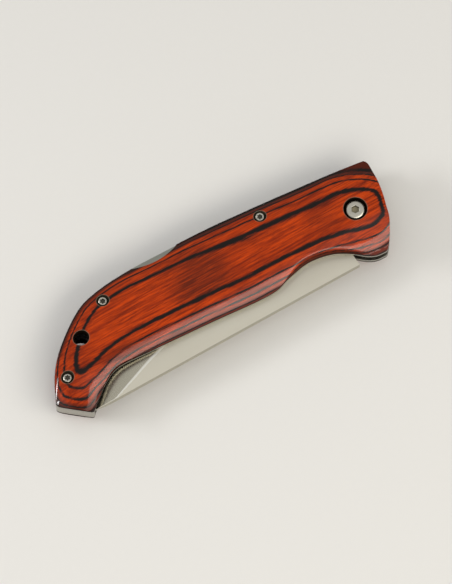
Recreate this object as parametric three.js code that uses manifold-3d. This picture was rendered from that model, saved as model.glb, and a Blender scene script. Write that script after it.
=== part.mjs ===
// A folding pocket knife with a back lock, closed, lying on its back scale.
// Millimetres. The blade turns about the Z axis through x = 0, y = 0. +X points to the pivot end,
// +Y to the handle's back, where the lock bar is, and +Z up through the handle's thickness.
import * as THREE from 'three';
import { mergeVertices } from 'three/addons/utils/BufferGeometryUtils.js';
import Module from 'manifold-3d';

const wasm = await Module();
wasm.setup();

// Handle outline, measured from the pivot axis
const HANDLE_FRONT = 12.3;
const BACK_HEIGHT = 19.8;
const FRONT_HEIGHT = 14.3;
const BUTT_LENGTH = 9.6;
const BUTT_CORNER_DROP = 8;
const FOOT_WALL = 0.9;
const FOOT_DROP = 16.6;
const FOOT_CORNER = 0.8;
const WAIST_DROP = 6.9;
const PALM_DROP = 10.3;
const ARCH_DROP = 7.2;
const LOBE_DROP = 16.5;
const FRONT_CORNER = 0.9;

// Thumb recess in the back, over the lock bar's rear end
const RECESS_FROM_BAR_END = 8.8;
const RECESS_WIDTH = 17.4;
const RECESS_DEPTH = 2.15;

// Thicknesses, from the back scale to the front scale
const SCALE_THICKNESS = 5;
const LINER_THICKNESS = 1;
const WASHER_THICKNESS = 0.25;
const BLADE_THICKNESS = 2.7;

// Crown of the scales. Each side is rounded down to a height along its rail, over a run
const THINNEST_EDGE = 0.6;
const BACK_EDGE = 1.6;
const BACK_RUN = 10.3;
const BACK_FULLNESS = 0.8;
const BACK_SLOPE_BEYOND = 0.2;
const BELLY_EDGE = 1.2;
const BELLY_RUN = 11.6;
const BELLY_FULLNESS = 0.9;
const BUTT_EDGE = 1.2;
const BUTT_RUN = 17;
const BUTT_FULLNESS = 0.85;
const LOBE_EDGE = 0.9;
const LOBE_RUN = 2.4;
const LOBE_FULLNESS = 0.7;
const FRONT_DROP = 0.8;
const FRONT_RUN = 5;
const CROWN_BLEND = 3;

// Blade, as it lies closed
const BLADE_REACH = 107.5;
const BLADE_SPINE_DROP = 15.65;
const BLADE_DEPTH = 23.8;
const TIP_RISE = 0.45;
const GRIND_DEPTH = 11.6;
const GRIND_TO_TIP = 6.5;
const RICASSO_REAR = 14;
const PLUNGE_LENGTH = 5;
const SHOULDER_THICKNESS = 0.6;
const EDGE_THICKNESS = 0.08;
const EDGE_BEVEL = 0.9;
const CHOIL_RADIUS = 1.3;

// Tang, which the lock bar's nose rides on and drops into
const TANG_RADIUS = 9.6;
const TANG_FLAT = 8.3;
const NOTCH_FRONT = 7.4;
const NOTCH_LEAN = 0.6;
const KICK_HEIGHT = 10;

// Lock bar
const LOCK_REAR = 28.2;
const SCREW_INSET = 4.3;
const BAR_REAR = 73.8;
const BAR_SIDE_GAP = 0.1;
const BAR_PROUD = 0.7;
const BAR_UNDERCUT = 1.3;
const BAR_BOSS_RADIUS = 4;
const BAR_ARM_DEPTH = 5.1;
const NOSE_LENGTH = 5;
const NOSE_FRONT_GAP = 0.2;
const NOSE_REAR_GAP = 0.8;
const NOSE_LIFT = 0.3;

// Leaf spring
const SPRING_THICKNESS = 0.8;
const SPRING_FRONT = 49;
const SPRING_HOLD = 10;
const SPRING_HEIGHT = 12;
const SPRING_SIDE_GAP = 0.2;

// Rear spacer
const SPACER_GAP = 0.7;
const SPACER_WEB = 10.4;
const KERF_GAP = 0.15;
const TIP_GAP = 0.5;

// Pivot and its washers
const PIVOT_RADIUS = 2.5;
const PIVOT_GAP = 0.1;
const PIVOT_HEAD_RADIUS = 3.1;
const PIVOT_HEAD_HEIGHT = 1.6;
const PIVOT_SINK = 1;
const PIVOT_RECESS_RADIUS = 3.9;
const PIVOT_SHANK_RADIUS = 1.5;
const PIVOT_SOCKET_RADIUS = 1.35;
const PIVOT_SOCKET_DEPTH = 1.1;
const WASHER_RADIUS = 7;

// Small screws and the sleeves that they thread into
const SCREW_HEAD_RADIUS = 1.5;
const SCREW_HEAD_HEIGHT = 0.9;
const SCREW_SINK = 0.75;
const SCREW_RECESS_RADIUS = 2.1;
const SCREW_SHANK_RADIUS = 1;
const SCREW_GAP = 0.15;
const SCREW_SOCKET_RADIUS = 0.85;
const SCREW_SOCKET_DEPTH = 0.6;
const SCREW_REACH = 1.3;
const LOCK_SLEEVE_RADIUS = 2.25;
const SLEEVE_RADIUS = 2;
const SLEEVE_GAP = 0.12;
const UPPER_SCREW_FROM_BUTT = 30.5;
const LOWER_SCREW_FROM_BUTT = 7.4;
const LOWER_SCREW_DROP = 2.7;

// Lanyard hole
const LANYARD_FROM_BUTT = 17.9;
const LANYARD_HEIGHT = 6.7;
const LANYARD_RADIUS = 2.65;

// Lengths that follow from the blade, which the handle is made to hold
const FOOT_REAR = BLADE_REACH + FOOT_WALL;
const HANDLE_REAR = FOOT_REAR + BUTT_LENGTH;
const GRIND_MEETS_SPINE = BLADE_REACH - GRIND_TO_TIP;
const RECESS_REAR = BAR_REAR - RECESS_FROM_BAR_END;
const UPPER_SCREW_REAR = HANDLE_REAR - UPPER_SCREW_FROM_BUTT;
const LOWER_SCREW_REAR = HANDLE_REAR - LOWER_SCREW_FROM_BUTT;
const LANYARD_REAR = HANDLE_REAR - LANYARD_FROM_BUTT;

// Levels that follow from the thicknesses
const BACK_LINER_BOTTOM = SCALE_THICKNESS;
const GAP_BOTTOM = BACK_LINER_BOTTOM + LINER_THICKNESS;
const GAP_HEIGHT = BLADE_THICKNESS + 2 * WASHER_THICKNESS;
const GAP_TOP = GAP_BOTTOM + GAP_HEIGHT;
const FRONT_LINER_TOP = GAP_TOP + LINER_THICKNESS;
const MID_LEVEL = GAP_BOTTOM + GAP_HEIGHT / 2;

// How finely curves are stepped
const ROUND_SIDES = 24;
const BIG_ROUND_SIDES = 40;
const CUT_MARGIN = 3;

const at = (x, y) => new THREE.Vector2(x, y);

// A closed three.js geometry as a solid that can be joined and cut
function toSolid(geometry) {
  const bare = new THREE.BufferGeometry();
  bare.setAttribute('position', geometry.getAttribute('position').clone());
  if (geometry.index) bare.setIndex(geometry.index.clone());
  const merged = mergeVertices(bare, 1e-4);
  const corners = merged.index.array;
  const kept = [];
  for (let i = 0; i < corners.length; i += 3) {
    const [a, b, c] = [corners[i], corners[i + 1], corners[i + 2]];
    if (a !== b && b !== c && c !== a) kept.push(a, b, c);
  }
  return new wasm.Manifold(new wasm.Mesh({
    numProp: 3,
    vertProperties: new Float32Array(merged.getAttribute('position').array),
    triVerts: new Uint32Array(kept),
  }));
}

function toGeometry(solid) {
  const { vertProperties, triVerts, numProp } = solid.getMesh();
  const places = new Float32Array((vertProperties.length / numProp) * 3);
  for (let i = 0; i < places.length / 3; i += 1) {
    for (let k = 0; k < 3; k += 1) places[3 * i + k] = vertProperties[numProp * i + k];
  }
  const geometry = new THREE.BufferGeometry();
  geometry.setAttribute('position', new THREE.BufferAttribute(places, 3));
  geometry.setIndex(Array.from(triVerts));
  geometry.computeVertexNormals();
  return geometry;
}

// A flat plate of the given outline between two levels
function plate(points, bottom, top) {
  const shape = new THREE.Shape(points);
  const geometry = new THREE.ExtrudeGeometry(shape, { depth: top - bottom, bevelEnabled: false });
  geometry.translate(0, 0, bottom);
  return toSolid(geometry);
}

// A round bar along Z
function rod(place, radius, bottom, top, sides = ROUND_SIDES) {
  const geometry = new THREE.CylinderGeometry(radius, radius, top - bottom, sides);
  geometry.rotateX(Math.PI / 2);
  geometry.translate(place.x, place.y, (bottom + top) / 2);
  return toSolid(geometry);
}

const cutAll = (solid, cutters) => cutters.reduce((left, cutter) => left.subtract(cutter), solid);

// The sides of the handle's outline, counter-clockwise from the front corner
const backCurve = new THREE.SplineCurve([
  at(HANDLE_FRONT - FRONT_CORNER, FRONT_HEIGHT),
  at(-0.07 * HANDLE_REAR, 0.826 * BACK_HEIGHT),
  at(-0.27 * HANDLE_REAR, 0.934 * BACK_HEIGHT),
  at(-0.43 * HANDLE_REAR, 0.996 * BACK_HEIGHT),
  at(-0.644 * HANDLE_REAR, BACK_HEIGHT),
  at(-0.763 * HANDLE_REAR, 0.922 * BACK_HEIGHT),
  at(-0.83 * HANDLE_REAR, 0.755 * BACK_HEIGHT),
  at(-0.915 * HANDLE_REAR, 0.366 * BACK_HEIGHT),
  at(-0.966 * HANDLE_REAR, 0),
  at(-HANDLE_REAR, -BUTT_CORNER_DROP),
]);
const buttCurve = new THREE.SplineCurve([
  at(-HANDLE_REAR, -BUTT_CORNER_DROP),
  at(-0.994 * HANDLE_REAR, -1.18 * BUTT_CORNER_DROP),
  at(-(0.62 * FOOT_REAR + 0.38 * HANDLE_REAR), -(0.68 * FOOT_DROP + 0.32 * BUTT_CORNER_DROP)),
  at(-FOOT_REAR - FOOT_CORNER, -FOOT_DROP + 0.6 * FOOT_CORNER),
]);
const footEnd = at(-FOOT_REAR + 0.45 * FOOT_CORNER, -FOOT_DROP + 0.8 * FOOT_CORNER);
const footCurve = new THREE.QuadraticBezierCurve(
  at(-FOOT_REAR - FOOT_CORNER, -FOOT_DROP + 0.6 * FOOT_CORNER), at(-FOOT_REAR, -FOOT_DROP), footEnd,
);
const bellyCurve = new THREE.SplineCurve([
  footEnd,
  at(-0.959 * FOOT_REAR, -0.753 * FOOT_DROP),
  at(-0.922 * FOOT_REAR, -0.572 * FOOT_DROP),
  at(-0.885 * FOOT_REAR, -1.087 * WAIST_DROP),
  at(-0.84 * FOOT_REAR, -WAIST_DROP),
  at(-0.74 * FOOT_REAR, -0.747 * PALM_DROP),
  at(-0.553 * FOOT_REAR, -0.874 * PALM_DROP),
  at(-0.406 * FOOT_REAR, -PALM_DROP),
  at(-0.332 * FOOT_REAR, -PALM_DROP),
  at(-0.277 * FOOT_REAR, -1.19 * ARCH_DROP),
  at(-0.203 * FOOT_REAR, -ARCH_DROP),
  at(-0.129 * FOOT_REAR, -1.18 * ARCH_DROP),
  at(-0.074 * FOOT_REAR, -0.708 * LOBE_DROP),
  at(-0.037 * FOOT_REAR, -0.902 * LOBE_DROP),
  at(-0.009 * FOOT_REAR, -0.985 * LOBE_DROP),
  at(0.18 * HANDLE_FRONT, -LOBE_DROP),
]);
const frontCurve = new THREE.SplineCurve([
  at(0.18 * HANDLE_FRONT, -LOBE_DROP),
  at(0.26 * HANDLE_FRONT, -0.965 * LOBE_DROP),
  at(0.45 * HANDLE_FRONT, -0.785 * LOBE_DROP),
  at(0.68 * HANDLE_FRONT, -0.475 * LOBE_DROP),
  at(0.77 * HANDLE_FRONT, -0.24 * LOBE_DROP),
  at(0.86 * HANDLE_FRONT, 0),
  at(0.96 * HANDLE_FRONT, 0.45 * FRONT_HEIGHT),
  at(HANDLE_FRONT, FRONT_HEIGHT - 2 * FRONT_CORNER),
  at(HANDLE_FRONT - FRONT_CORNER, FRONT_HEIGHT),
]);

const sampled = (curve, steps) => curve.getSpacedPoints(steps);
const backPoints = sampled(backCurve, 38);
const buttPoints = [...sampled(buttCurve, 7).slice(0, -1), ...sampled(footCurve, 3)];
const bellyPoints = sampled(bellyCurve, 46);
const frontPoints = sampled(frontCurve, 20);
const outline = [backPoints, buttPoints, bellyPoints, frontPoints].flatMap((side) => side.slice(0, -1));

// The height of the handle's back above the pivot axis, at one place along it
function backAt(x) {
  const next = backPoints.findIndex((point, i) => i > 0 && point.x <= x);
  if (next < 0) return backPoints.at(-1).y;
  const [a, b] = [backPoints[next - 1], backPoints[next]];
  return THREE.MathUtils.mapLinear(x, a.x, b.x, a.y, b.y);
}

// How far a place is to the left of an open line, or below zero to the right of it
function distanceToLine(place, points) {
  const nearest = new THREE.Vector3();
  const from = new THREE.Vector3(place.x, place.y, 0);
  const segment = new THREE.Line3();
  let least = Infinity;
  for (let i = 1; i < points.length; i += 1) {
    const [a, b] = [points[i - 1], points[i]];
    segment.start.set(a.x, a.y, 0);
    segment.end.set(b.x, b.y, 0);
    segment.closestPointToPoint(from, true, nearest);
    const side = (b.x - a.x) * (from.y - nearest.y) < (b.y - a.y) * (from.x - nearest.x) ? -1 : 1;
    const far = nearest.distanceTo(from);
    if (far < Math.abs(least)) least = side * far;
  }
  return least;
}

// The back's rail leaves the back near the front end and runs down across the front corner. The
// belly's rail runs straight past the finger arch and the waist, so their walls are higher.
const backRail = [
  ...sampled(new THREE.SplineCurve([
    at(1.4 * HANDLE_FRONT, 0.26 * FRONT_HEIGHT),
    at(HANDLE_FRONT, 0.6 * FRONT_HEIGHT),
    at(0.7 * HANDLE_FRONT, 0.79 * FRONT_HEIGHT),
    at(0.33 * HANDLE_FRONT, 0.95 * FRONT_HEIGHT),
    at(-0.16 * HANDLE_FRONT, 1.065 * FRONT_HEIGHT),
  ]), 16),
  ...backPoints.filter((point) => point.x < -0.07 * HANDLE_REAR),
];
const bellyRail = sampled(new THREE.SplineCurve([
  footEnd,
  at(-0.959 * FOOT_REAR, -0.753 * FOOT_DROP),
  at(-0.915 * FOOT_REAR, -0.64 * FOOT_DROP),
  at(-0.84 * FOOT_REAR, -1.18 * WAIST_DROP),
  at(-0.74 * FOOT_REAR, -0.76 * PALM_DROP),
  at(-0.553 * FOOT_REAR, -0.874 * PALM_DROP),
  at(-0.406 * FOOT_REAR, -PALM_DROP),
  at(-0.277 * FOOT_REAR, -1.03 * PALM_DROP),
  at(-0.129 * FOOT_REAR, -1.15 * PALM_DROP),
  at(-0.02 * FOOT_REAR, -0.9 * LOBE_DROP),
  at(0.34 * HANDLE_FRONT, -0.92 * LOBE_DROP),
  at(HANDLE_FRONT, -0.77 * LOBE_DROP),
  at(1.7 * HANDLE_FRONT, -0.56 * LOBE_DROP),
]), 60);
const lobeRail = bellyPoints.filter((point) => point.x > -0.11 * FOOT_REAR);

// How far a face that is rounded down to a rail lies below the middle of the scale
function roundedDrop(inward, edge, run, fullness) {
  const outward = THREE.MathUtils.clamp(1 - inward / run, 0, 1);
  return (SCALE_THICKNESS - edge) * (1 - (1 - outward ** 2) ** fullness);
}

// The height of a scale's outer surface above its liner
function crownAt(place) {
  const toBack = distanceToLine(place, backRail);
  const toBelly = distanceToLine(place, bellyRail);
  const toButt = Math.abs(distanceToLine(place, buttPoints));
  const toLobe = Math.abs(distanceToLine(place, lobeRail));
  const toFront = Math.abs(distanceToLine(place, frontPoints));
  const beyondBack = BACK_SLOPE_BEYOND * Math.max(0, -toBack);
  const drops = [
    roundedDrop(toBack, BACK_EDGE, BACK_RUN, BACK_FULLNESS) + beyondBack,
    roundedDrop(toBelly, BELLY_EDGE, BELLY_RUN, BELLY_FULLNESS),
    roundedDrop(toButt, BUTT_EDGE, BUTT_RUN, BUTT_FULLNESS),
    roundedDrop(toLobe, LOBE_EDGE, LOBE_RUN, LOBE_FULLNESS),
    FRONT_DROP * (1 - Math.min(1, toFront / FRONT_RUN)) ** 2,
  ];
  const sum = drops.reduce((total, drop) => total + drop ** CROWN_BLEND, 0);
  return Math.max(SCALE_THICKNESS - sum ** (1 / CROWN_BLEND), THINNEST_EDGE);
}

// A crowned scale on the plane z = 0, as rings stepped inward from the outline. Each outline
// point steps towards the handle's middle line, which its ends share with the points round them.
const RING_STEPS = [0, 0.3, 0.9, 1.9, 3.4, 5.4, 7.9, 12];
function crownedScale() {
  const middleAt = (x) => {
    const near = bellyPoints.reduce((a, b) => (Math.abs(a.x - x) < Math.abs(b.x - x) ? a : b));
    return at(x, (backAt(x) + near.y) / 2);
  };
  const rearMiddle = -0.85 * HANDLE_REAR;
  const frontMiddle = 0.1 * HANDLE_FRONT;
  const rings = RING_STEPS.map((step, ring) => outline.map((point) => {
    const middle = middleAt(THREE.MathUtils.clamp(point.x, rearMiddle, frontMiddle));
    const inward = middle.sub(point);
    const travel = Math.min(step, (inward.length() * ring) / RING_STEPS.length);
    return point.clone().addScaledVector(inward.normalize(), travel);
  }));
  const count = outline.length;
  const places = [];
  const faces = [];
  for (const ring of rings) {
    for (const point of ring) places.push(point.x, point.y, crownAt(point));
  }
  for (let ring = 0; ring < rings.length - 1; ring += 1) {
    for (let i = 0; i < count; i += 1) {
      const next = (i + 1) % count;
      const [a, b] = [ring * count + i, ring * count + next];
      faces.push(a, b, b + count, a, b + count, a + count);
    }
  }
  const top = (rings.length - 1) * count;
  const base = rings.length * count;
  for (const point of outline) places.push(point.x, point.y, 0);
  for (const [a, b, c] of THREE.ShapeUtils.triangulateShape(rings.at(-1), [])) {
    faces.push(top + a, top + b, top + c);
  }
  for (const [a, b, c] of THREE.ShapeUtils.triangulateShape(outline, [])) {
    faces.push(base + a, base + c, base + b);
  }
  for (let i = 0; i < count; i += 1) {
    const next = (i + 1) % count;
    faces.push(base + i, base + next, next, base + i, next, i);
  }
  const geometry = new THREE.BufferGeometry();
  geometry.setAttribute('position', new THREE.Float32BufferAttribute(places, 3));
  geometry.setIndex(faces);
  return geometry;
}

// The same scale turned over, for the knife's back side
function turnedOver(geometry) {
  const copy = geometry.clone().scale(1, 1, -1);
  const corners = Array.from(copy.index.array);
  for (let i = 0; i < corners.length; i += 3) {
    [corners[i + 1], corners[i + 2]] = [corners[i + 2], corners[i + 1]];
  }
  copy.setIndex(corners);
  return copy;
}

// Places of the screws and of the lanyard hole
const PIVOT = at(0, 0);
const LOCK = at(-LOCK_REAR, backAt(-LOCK_REAR) - SCREW_INSET);
const UPPER = at(-UPPER_SCREW_REAR, backAt(-UPPER_SCREW_REAR) - SCREW_INSET);
const LOWER = at(-LOWER_SCREW_REAR, -LOWER_SCREW_DROP);
const LANYARD = at(-LANYARD_REAR, LANYARD_HEIGHT);
const SMALL_SCREWS = [LOCK, UPPER, LOWER];

// The release recess, as a round cutter across the handle's back
const recessRadius = ((RECESS_WIDTH / 2) ** 2 + RECESS_DEPTH ** 2) / (2 * RECESS_DEPTH);
const recessPlace = at(-RECESS_REAR, backAt(-RECESS_REAR) - RECESS_DEPTH + recessRadius);
const recessTop = FRONT_LINER_TOP + SCALE_THICKNESS + CUT_MARGIN;
const recessCutter = rod(recessPlace, recessRadius, -CUT_MARGIN, recessTop, 2 * BIG_ROUND_SIDES);

// Heights above the liner's outer face: a recessed head's seat is the floor of its recess
const pivotSeat = crownAt(PIVOT) - PIVOT_SINK - PIVOT_HEAD_HEIGHT;
const screwSeat = (place) => crownAt(place) - SCREW_SINK - SCREW_HEAD_HEIGHT;

function frontScale() {
  const top = FRONT_LINER_TOP + SCALE_THICKNESS + CUT_MARGIN;
  const bottom = FRONT_LINER_TOP - CUT_MARGIN;
  const body = toSolid(crownedScale().translate(0, 0, FRONT_LINER_TOP));
  return cutAll(body, [
    recessCutter,
    rod(PIVOT, PIVOT_RECESS_RADIUS, FRONT_LINER_TOP + pivotSeat, top),
    rod(PIVOT, PIVOT_RADIUS + PIVOT_GAP, bottom, top),
    rod(LANYARD, LANYARD_RADIUS, bottom, top),
    ...SMALL_SCREWS.map((place) => rod(place, SCREW_RECESS_RADIUS, FRONT_LINER_TOP + screwSeat(place), top)),
    ...SMALL_SCREWS.map((place) => rod(place, SCREW_SHANK_RADIUS + SCREW_GAP, bottom, top)),
  ]);
}

function backScale() {
  const top = BACK_LINER_BOTTOM + CUT_MARGIN;
  const body = toSolid(turnedOver(crownedScale()).translate(0, 0, BACK_LINER_BOTTOM));
  return cutAll(body, [
    recessCutter,
    rod(PIVOT, PIVOT_RECESS_RADIUS, -CUT_MARGIN, BACK_LINER_BOTTOM - pivotSeat),
    rod(PIVOT, PIVOT_RADIUS + PIVOT_GAP, -CUT_MARGIN, top),
    rod(LANYARD, LANYARD_RADIUS, -CUT_MARGIN, top),
    ...SMALL_SCREWS.map((place) => rod(
      place, SCREW_RECESS_RADIUS, -CUT_MARGIN, BACK_LINER_BOTTOM - screwSeat(place),
    )),
    ...SMALL_SCREWS.map((place) => rod(place, SCREW_SHANK_RADIUS + SCREW_GAP, -CUT_MARGIN, top)),
  ]);
}

function liner(bottom) {
  const [low, high] = [bottom - CUT_MARGIN, bottom + LINER_THICKNESS + CUT_MARGIN];
  return cutAll(plate(outline, bottom, bottom + LINER_THICKNESS), [
    recessCutter,
    rod(PIVOT, PIVOT_RADIUS + PIVOT_GAP, low, high),
    rod(LANYARD, LANYARD_RADIUS, low, high),
    ...SMALL_SCREWS.map((place) => rod(place, SCREW_SHANK_RADIUS + SCREW_GAP, low, high)),
  ]);
}

// The blade lies closed with its spine outside the belly and its edge inside the handle
const spineY = -BLADE_SPINE_DROP;
const edgeY = spineY + BLADE_DEPTH;
const edgeCurve = new THREE.SplineCurve([
  at(-RICASSO_REAR, edgeY),
  at(-0.37 * BLADE_REACH, edgeY + 0.1),
  at(-0.56 * BLADE_REACH, edgeY - 0.015 * BLADE_DEPTH),
  at(-0.65 * BLADE_REACH, edgeY - 0.078 * BLADE_DEPTH),
  at(-0.744 * BLADE_REACH, edgeY - 0.195 * BLADE_DEPTH),
  at(-0.837 * BLADE_REACH, edgeY - 0.385 * BLADE_DEPTH),
  at(-0.93 * BLADE_REACH, edgeY - 0.68 * BLADE_DEPTH),
  at(-BLADE_REACH, spineY + TIP_RISE),
]);
const grindCurve = new THREE.SplineCurve([
  at(-RICASSO_REAR, spineY + GRIND_DEPTH),
  at(-0.6 * GRIND_MEETS_SPINE, spineY + 0.98 * GRIND_DEPTH),
  at(-0.78 * GRIND_MEETS_SPINE, spineY + 0.66 * GRIND_DEPTH),
  at(-0.91 * GRIND_MEETS_SPINE, spineY + 0.28 * GRIND_DEPTH),
  at(-GRIND_MEETS_SPINE, spineY),
]);
const edgePoints = sampled(edgeCurve, 60);
const grindPoints = sampled(grindCurve, 40);

function heightOn(points, x) {
  const next = points.findIndex((point, i) => i > 0 && point.x <= x);
  if (next < 0) return points.at(-1).y;
  const [a, b] = [points[next - 1], points[next]];
  return THREE.MathUtils.mapLinear(x, a.x, b.x, a.y, b.y);
}

// One cross-section of the ground part: spine, grind line, shoulder of the edge bevel, and edge,
// on the upper side and then back along the lower side
function bladeSection(x) {
  const half = BLADE_THICKNESS / 2;
  const plunge = THREE.MathUtils.smoothstep(-x, RICASSO_REAR, RICASSO_REAR + PLUNGE_LENGTH);
  const taper = THREE.MathUtils.clamp((BLADE_REACH + x) / (BLADE_REACH - GRIND_MEETS_SPINE), 0, 1);
  const spine = spineY + TIP_RISE * (1 - taper) ** 2;
  const spineHalf = THREE.MathUtils.lerp(SHOULDER_THICKNESS / 2, half, taper);
  const edge = Math.max(heightOn(edgePoints, x), spine + 0.04);
  const bevel = Math.min(EDGE_BEVEL, (edge - spine) / 3);
  const grind = THREE.MathUtils.clamp(heightOn(grindPoints, x), spine + bevel / 3, edge - 1.5 * bevel);
  const shoulderHalf = THREE.MathUtils.lerp(half, SHOULDER_THICKNESS / 2, plunge);
  const edgeHalf = THREE.MathUtils.lerp(half, EDGE_THICKNESS / 2, plunge);
  const side = [
    [spine, spineHalf],
    [grind, spineHalf],
    [edge - bevel, Math.min(shoulderHalf, spineHalf)],
    [edge, Math.min(edgeHalf, spineHalf)],
  ];
  const upper = side.map(([y, z]) => new THREE.Vector3(x, y, MID_LEVEL + z));
  const lower = side.map(([y, z]) => new THREE.Vector3(x, y, MID_LEVEL - z)).reverse();
  return [...upper, ...lower];
}

function groundBlade() {
  const start = -RICASSO_REAR + CHOIL_RADIUS;
  const stations = [start];
  for (let i = 0; i <= 8; i += 1) stations.push(-RICASSO_REAR - (PLUNGE_LENGTH * i) / 8);
  const rest = BLADE_REACH - 0.05 - RICASSO_REAR - PLUNGE_LENGTH;
  for (let i = 1; i <= 34; i += 1) {
    const along = Math.sin((i / 34) * (Math.PI / 2));
    stations.push(-RICASSO_REAR - PLUNGE_LENGTH - rest * along);
  }
  const sections = stations.map(bladeSection);
  const count = sections[0].length;
  const places = sections.flat().flatMap((point) => [point.x, point.y, point.z]);
  const faces = [];
  for (let s = 0; s < sections.length - 1; s += 1) {
    for (let i = 0; i < count; i += 1) {
      const next = (i + 1) % count;
      const [a, b] = [s * count + i, s * count + next];
      faces.push(a, b, b + count, a, b + count, a + count);
    }
  }
  const last = (sections.length - 1) * count;
  for (let i = 1; i < count - 1; i += 1) {
    faces.push(0, i + 1, i);
    faces.push(last, last + i, last + i + 1);
  }
  const geometry = new THREE.BufferGeometry();
  geometry.setAttribute('position', new THREE.Float32BufferAttribute(places, 3));
  geometry.setIndex(faces);
  return toSolid(geometry);
}

// The tang: a round cam, cut by two flats. The lower one is the floor of the lock notch, which
// the nose drops into when the blade is open. The upper one is what the nose sits over when it
// is closed. The kick keeps the edge off the lock bar.
const noseFront = NOTCH_FRONT - NOSE_FRONT_GAP;
const noseRear = noseFront - NOSE_LENGTH;
const notchRear = noseRear - NOSE_REAR_GAP;
const notchCorner = at(-NOTCH_FRONT, spineY);
function tang() {
  const notchAngle = Math.asin(notchRear / TANG_RADIUS);
  const flatAngle = Math.asin(TANG_FLAT / TANG_RADIUS);
  const shape = new THREE.Shape();
  shape.moveTo(notchCorner.x, notchCorner.y);
  shape.lineTo(-NOTCH_FRONT - NOTCH_LEAN, -TANG_FLAT);
  shape.lineTo(-notchRear, -TANG_FLAT);
  shape.absarc(0, 0, TANG_RADIUS, -Math.PI / 2 - notchAngle, flatAngle, false);
  shape.lineTo(-TANG_RADIUS * Math.cos(flatAngle), TANG_FLAT);
  shape.quadraticCurveTo(-NOTCH_FRONT + 0.6, KICK_HEIGHT, -NOTCH_FRONT - 0.8, KICK_HEIGHT);
  shape.quadraticCurveTo(-NOTCH_FRONT - 2.2, KICK_HEIGHT, -NOTCH_FRONT - 3, edgeY);
  shape.lineTo(-RICASSO_REAR, edgeY);
  shape.lineTo(-RICASSO_REAR, spineY);
  const points = shape.getPoints(BIG_ROUND_SIDES / 2);
  const half = BLADE_THICKNESS / 2;
  return plate(points, MID_LEVEL - half, MID_LEVEL + half);
}

function blade() {
  const [low, high] = [GAP_BOTTOM - CUT_MARGIN, GAP_TOP + CUT_MARGIN];
  return cutAll(tang().add(groundBlade()), [
    rod(PIVOT, PIVOT_RADIUS + PIVOT_GAP, low, high),
    rod(at(-RICASSO_REAR + CHOIL_RADIUS, edgeY + 0.2 * CHOIL_RADIUS), CHOIL_RADIUS, low, high),
  ]);
}

function washer(bottom) {
  const top = bottom + WASHER_THICKNESS;
  return rod(PIVOT, WASHER_RADIUS, bottom, top, BIG_ROUND_SIDES)
    .subtract(rod(PIVOT, PIVOT_RADIUS + PIVOT_GAP, bottom - CUT_MARGIN, top + CUT_MARGIN));
}

// The lock bar rocks on its sleeve. Its top follows the handle's back and stands a little proud in
// the thumb recess. Its nose hangs just over the cam.
const noseBottom = Math.sqrt((TANG_RADIUS + NOSE_LIFT) ** 2 - noseRear ** 2);
const barUnderside = noseBottom + BAR_UNDERCUT;
const barTopAt = (x) => backAt(x) - (BAR_PROUD * (x + LOCK_REAR)) / (RECESS_REAR - LOCK_REAR);
const armBottomAt = (x) => barTopAt(x) - BAR_ARM_DEPTH;
const spacerFront = -BAR_REAR - SPACER_GAP;
function lockBar() {
  const shape = new THREE.Shape();
  shape.moveTo(noseFront, barTopAt(noseFront));
  for (let i = 1; i <= 26; i += 1) {
    const x = THREE.MathUtils.lerp(noseFront, -BAR_REAR, i / 26);
    shape.lineTo(x, barTopAt(x));
  }
  shape.lineTo(-BAR_REAR, armBottomAt(-BAR_REAR) + 1);
  shape.lineTo(-BAR_REAR + 1, armBottomAt(-BAR_REAR));
  shape.lineTo(-SPRING_FRONT, armBottomAt(-SPRING_FRONT) - 0.6);
  const bossAngle = Math.asin(Math.min(1, (LOCK.y - barUnderside) / BAR_BOSS_RADIUS));
  shape.absarc(LOCK.x, LOCK.y, BAR_BOSS_RADIUS, Math.PI + bossAngle, 2 * Math.PI - bossAngle, false);
  shape.lineTo(noseRear - 0.5, barUnderside);
  shape.lineTo(noseRear, noseBottom);
  shape.lineTo(noseFront, noseBottom);
  const [low, high] = [GAP_BOTTOM + BAR_SIDE_GAP, GAP_TOP - BAR_SIDE_GAP];
  return plate(shape.getPoints(12), low, high)
    .subtract(rod(LOCK, LOCK_SLEEVE_RADIUS + PIVOT_GAP, low - CUT_MARGIN, high + CUT_MARGIN));
}

// A strip of spring steel, clamped in the spacer's kerf, that bears up under the bar's rear arm
const springTip = at(-SPRING_FRONT - 2.5, armBottomAt(-SPRING_FRONT - 2.5) - 0.6 - NOSE_LIFT);
function lockSpring() {
  const middle = new THREE.SplineCurve([
    at(spacerFront - SPRING_HOLD + KERF_GAP, SPRING_HEIGHT),
    at(spacerFront, SPRING_HEIGHT),
    at((spacerFront - SPRING_FRONT) / 2, SPRING_HEIGHT - 0.25),
    at(springTip.x, springTip.y - SPRING_THICKNESS / 2),
    at(-SPRING_FRONT, springTip.y - SPRING_THICKNESS),
  ]);
  const steps = 18;
  const [upper, lower] = [[], []];
  for (let i = 0; i <= steps; i += 1) {
    const point = middle.getPointAt(i / steps);
    const along = middle.getTangentAt(i / steps);
    const across = at(-along.y, along.x).multiplyScalar(SPRING_THICKNESS / 2);
    upper.push(point.clone().add(across));
    lower.push(point.clone().sub(across));
  }
  return plate([...lower, ...upper.reverse()], GAP_BOTTOM + SPRING_SIDE_GAP, GAP_TOP - SPRING_SIDE_GAP);
}

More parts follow.
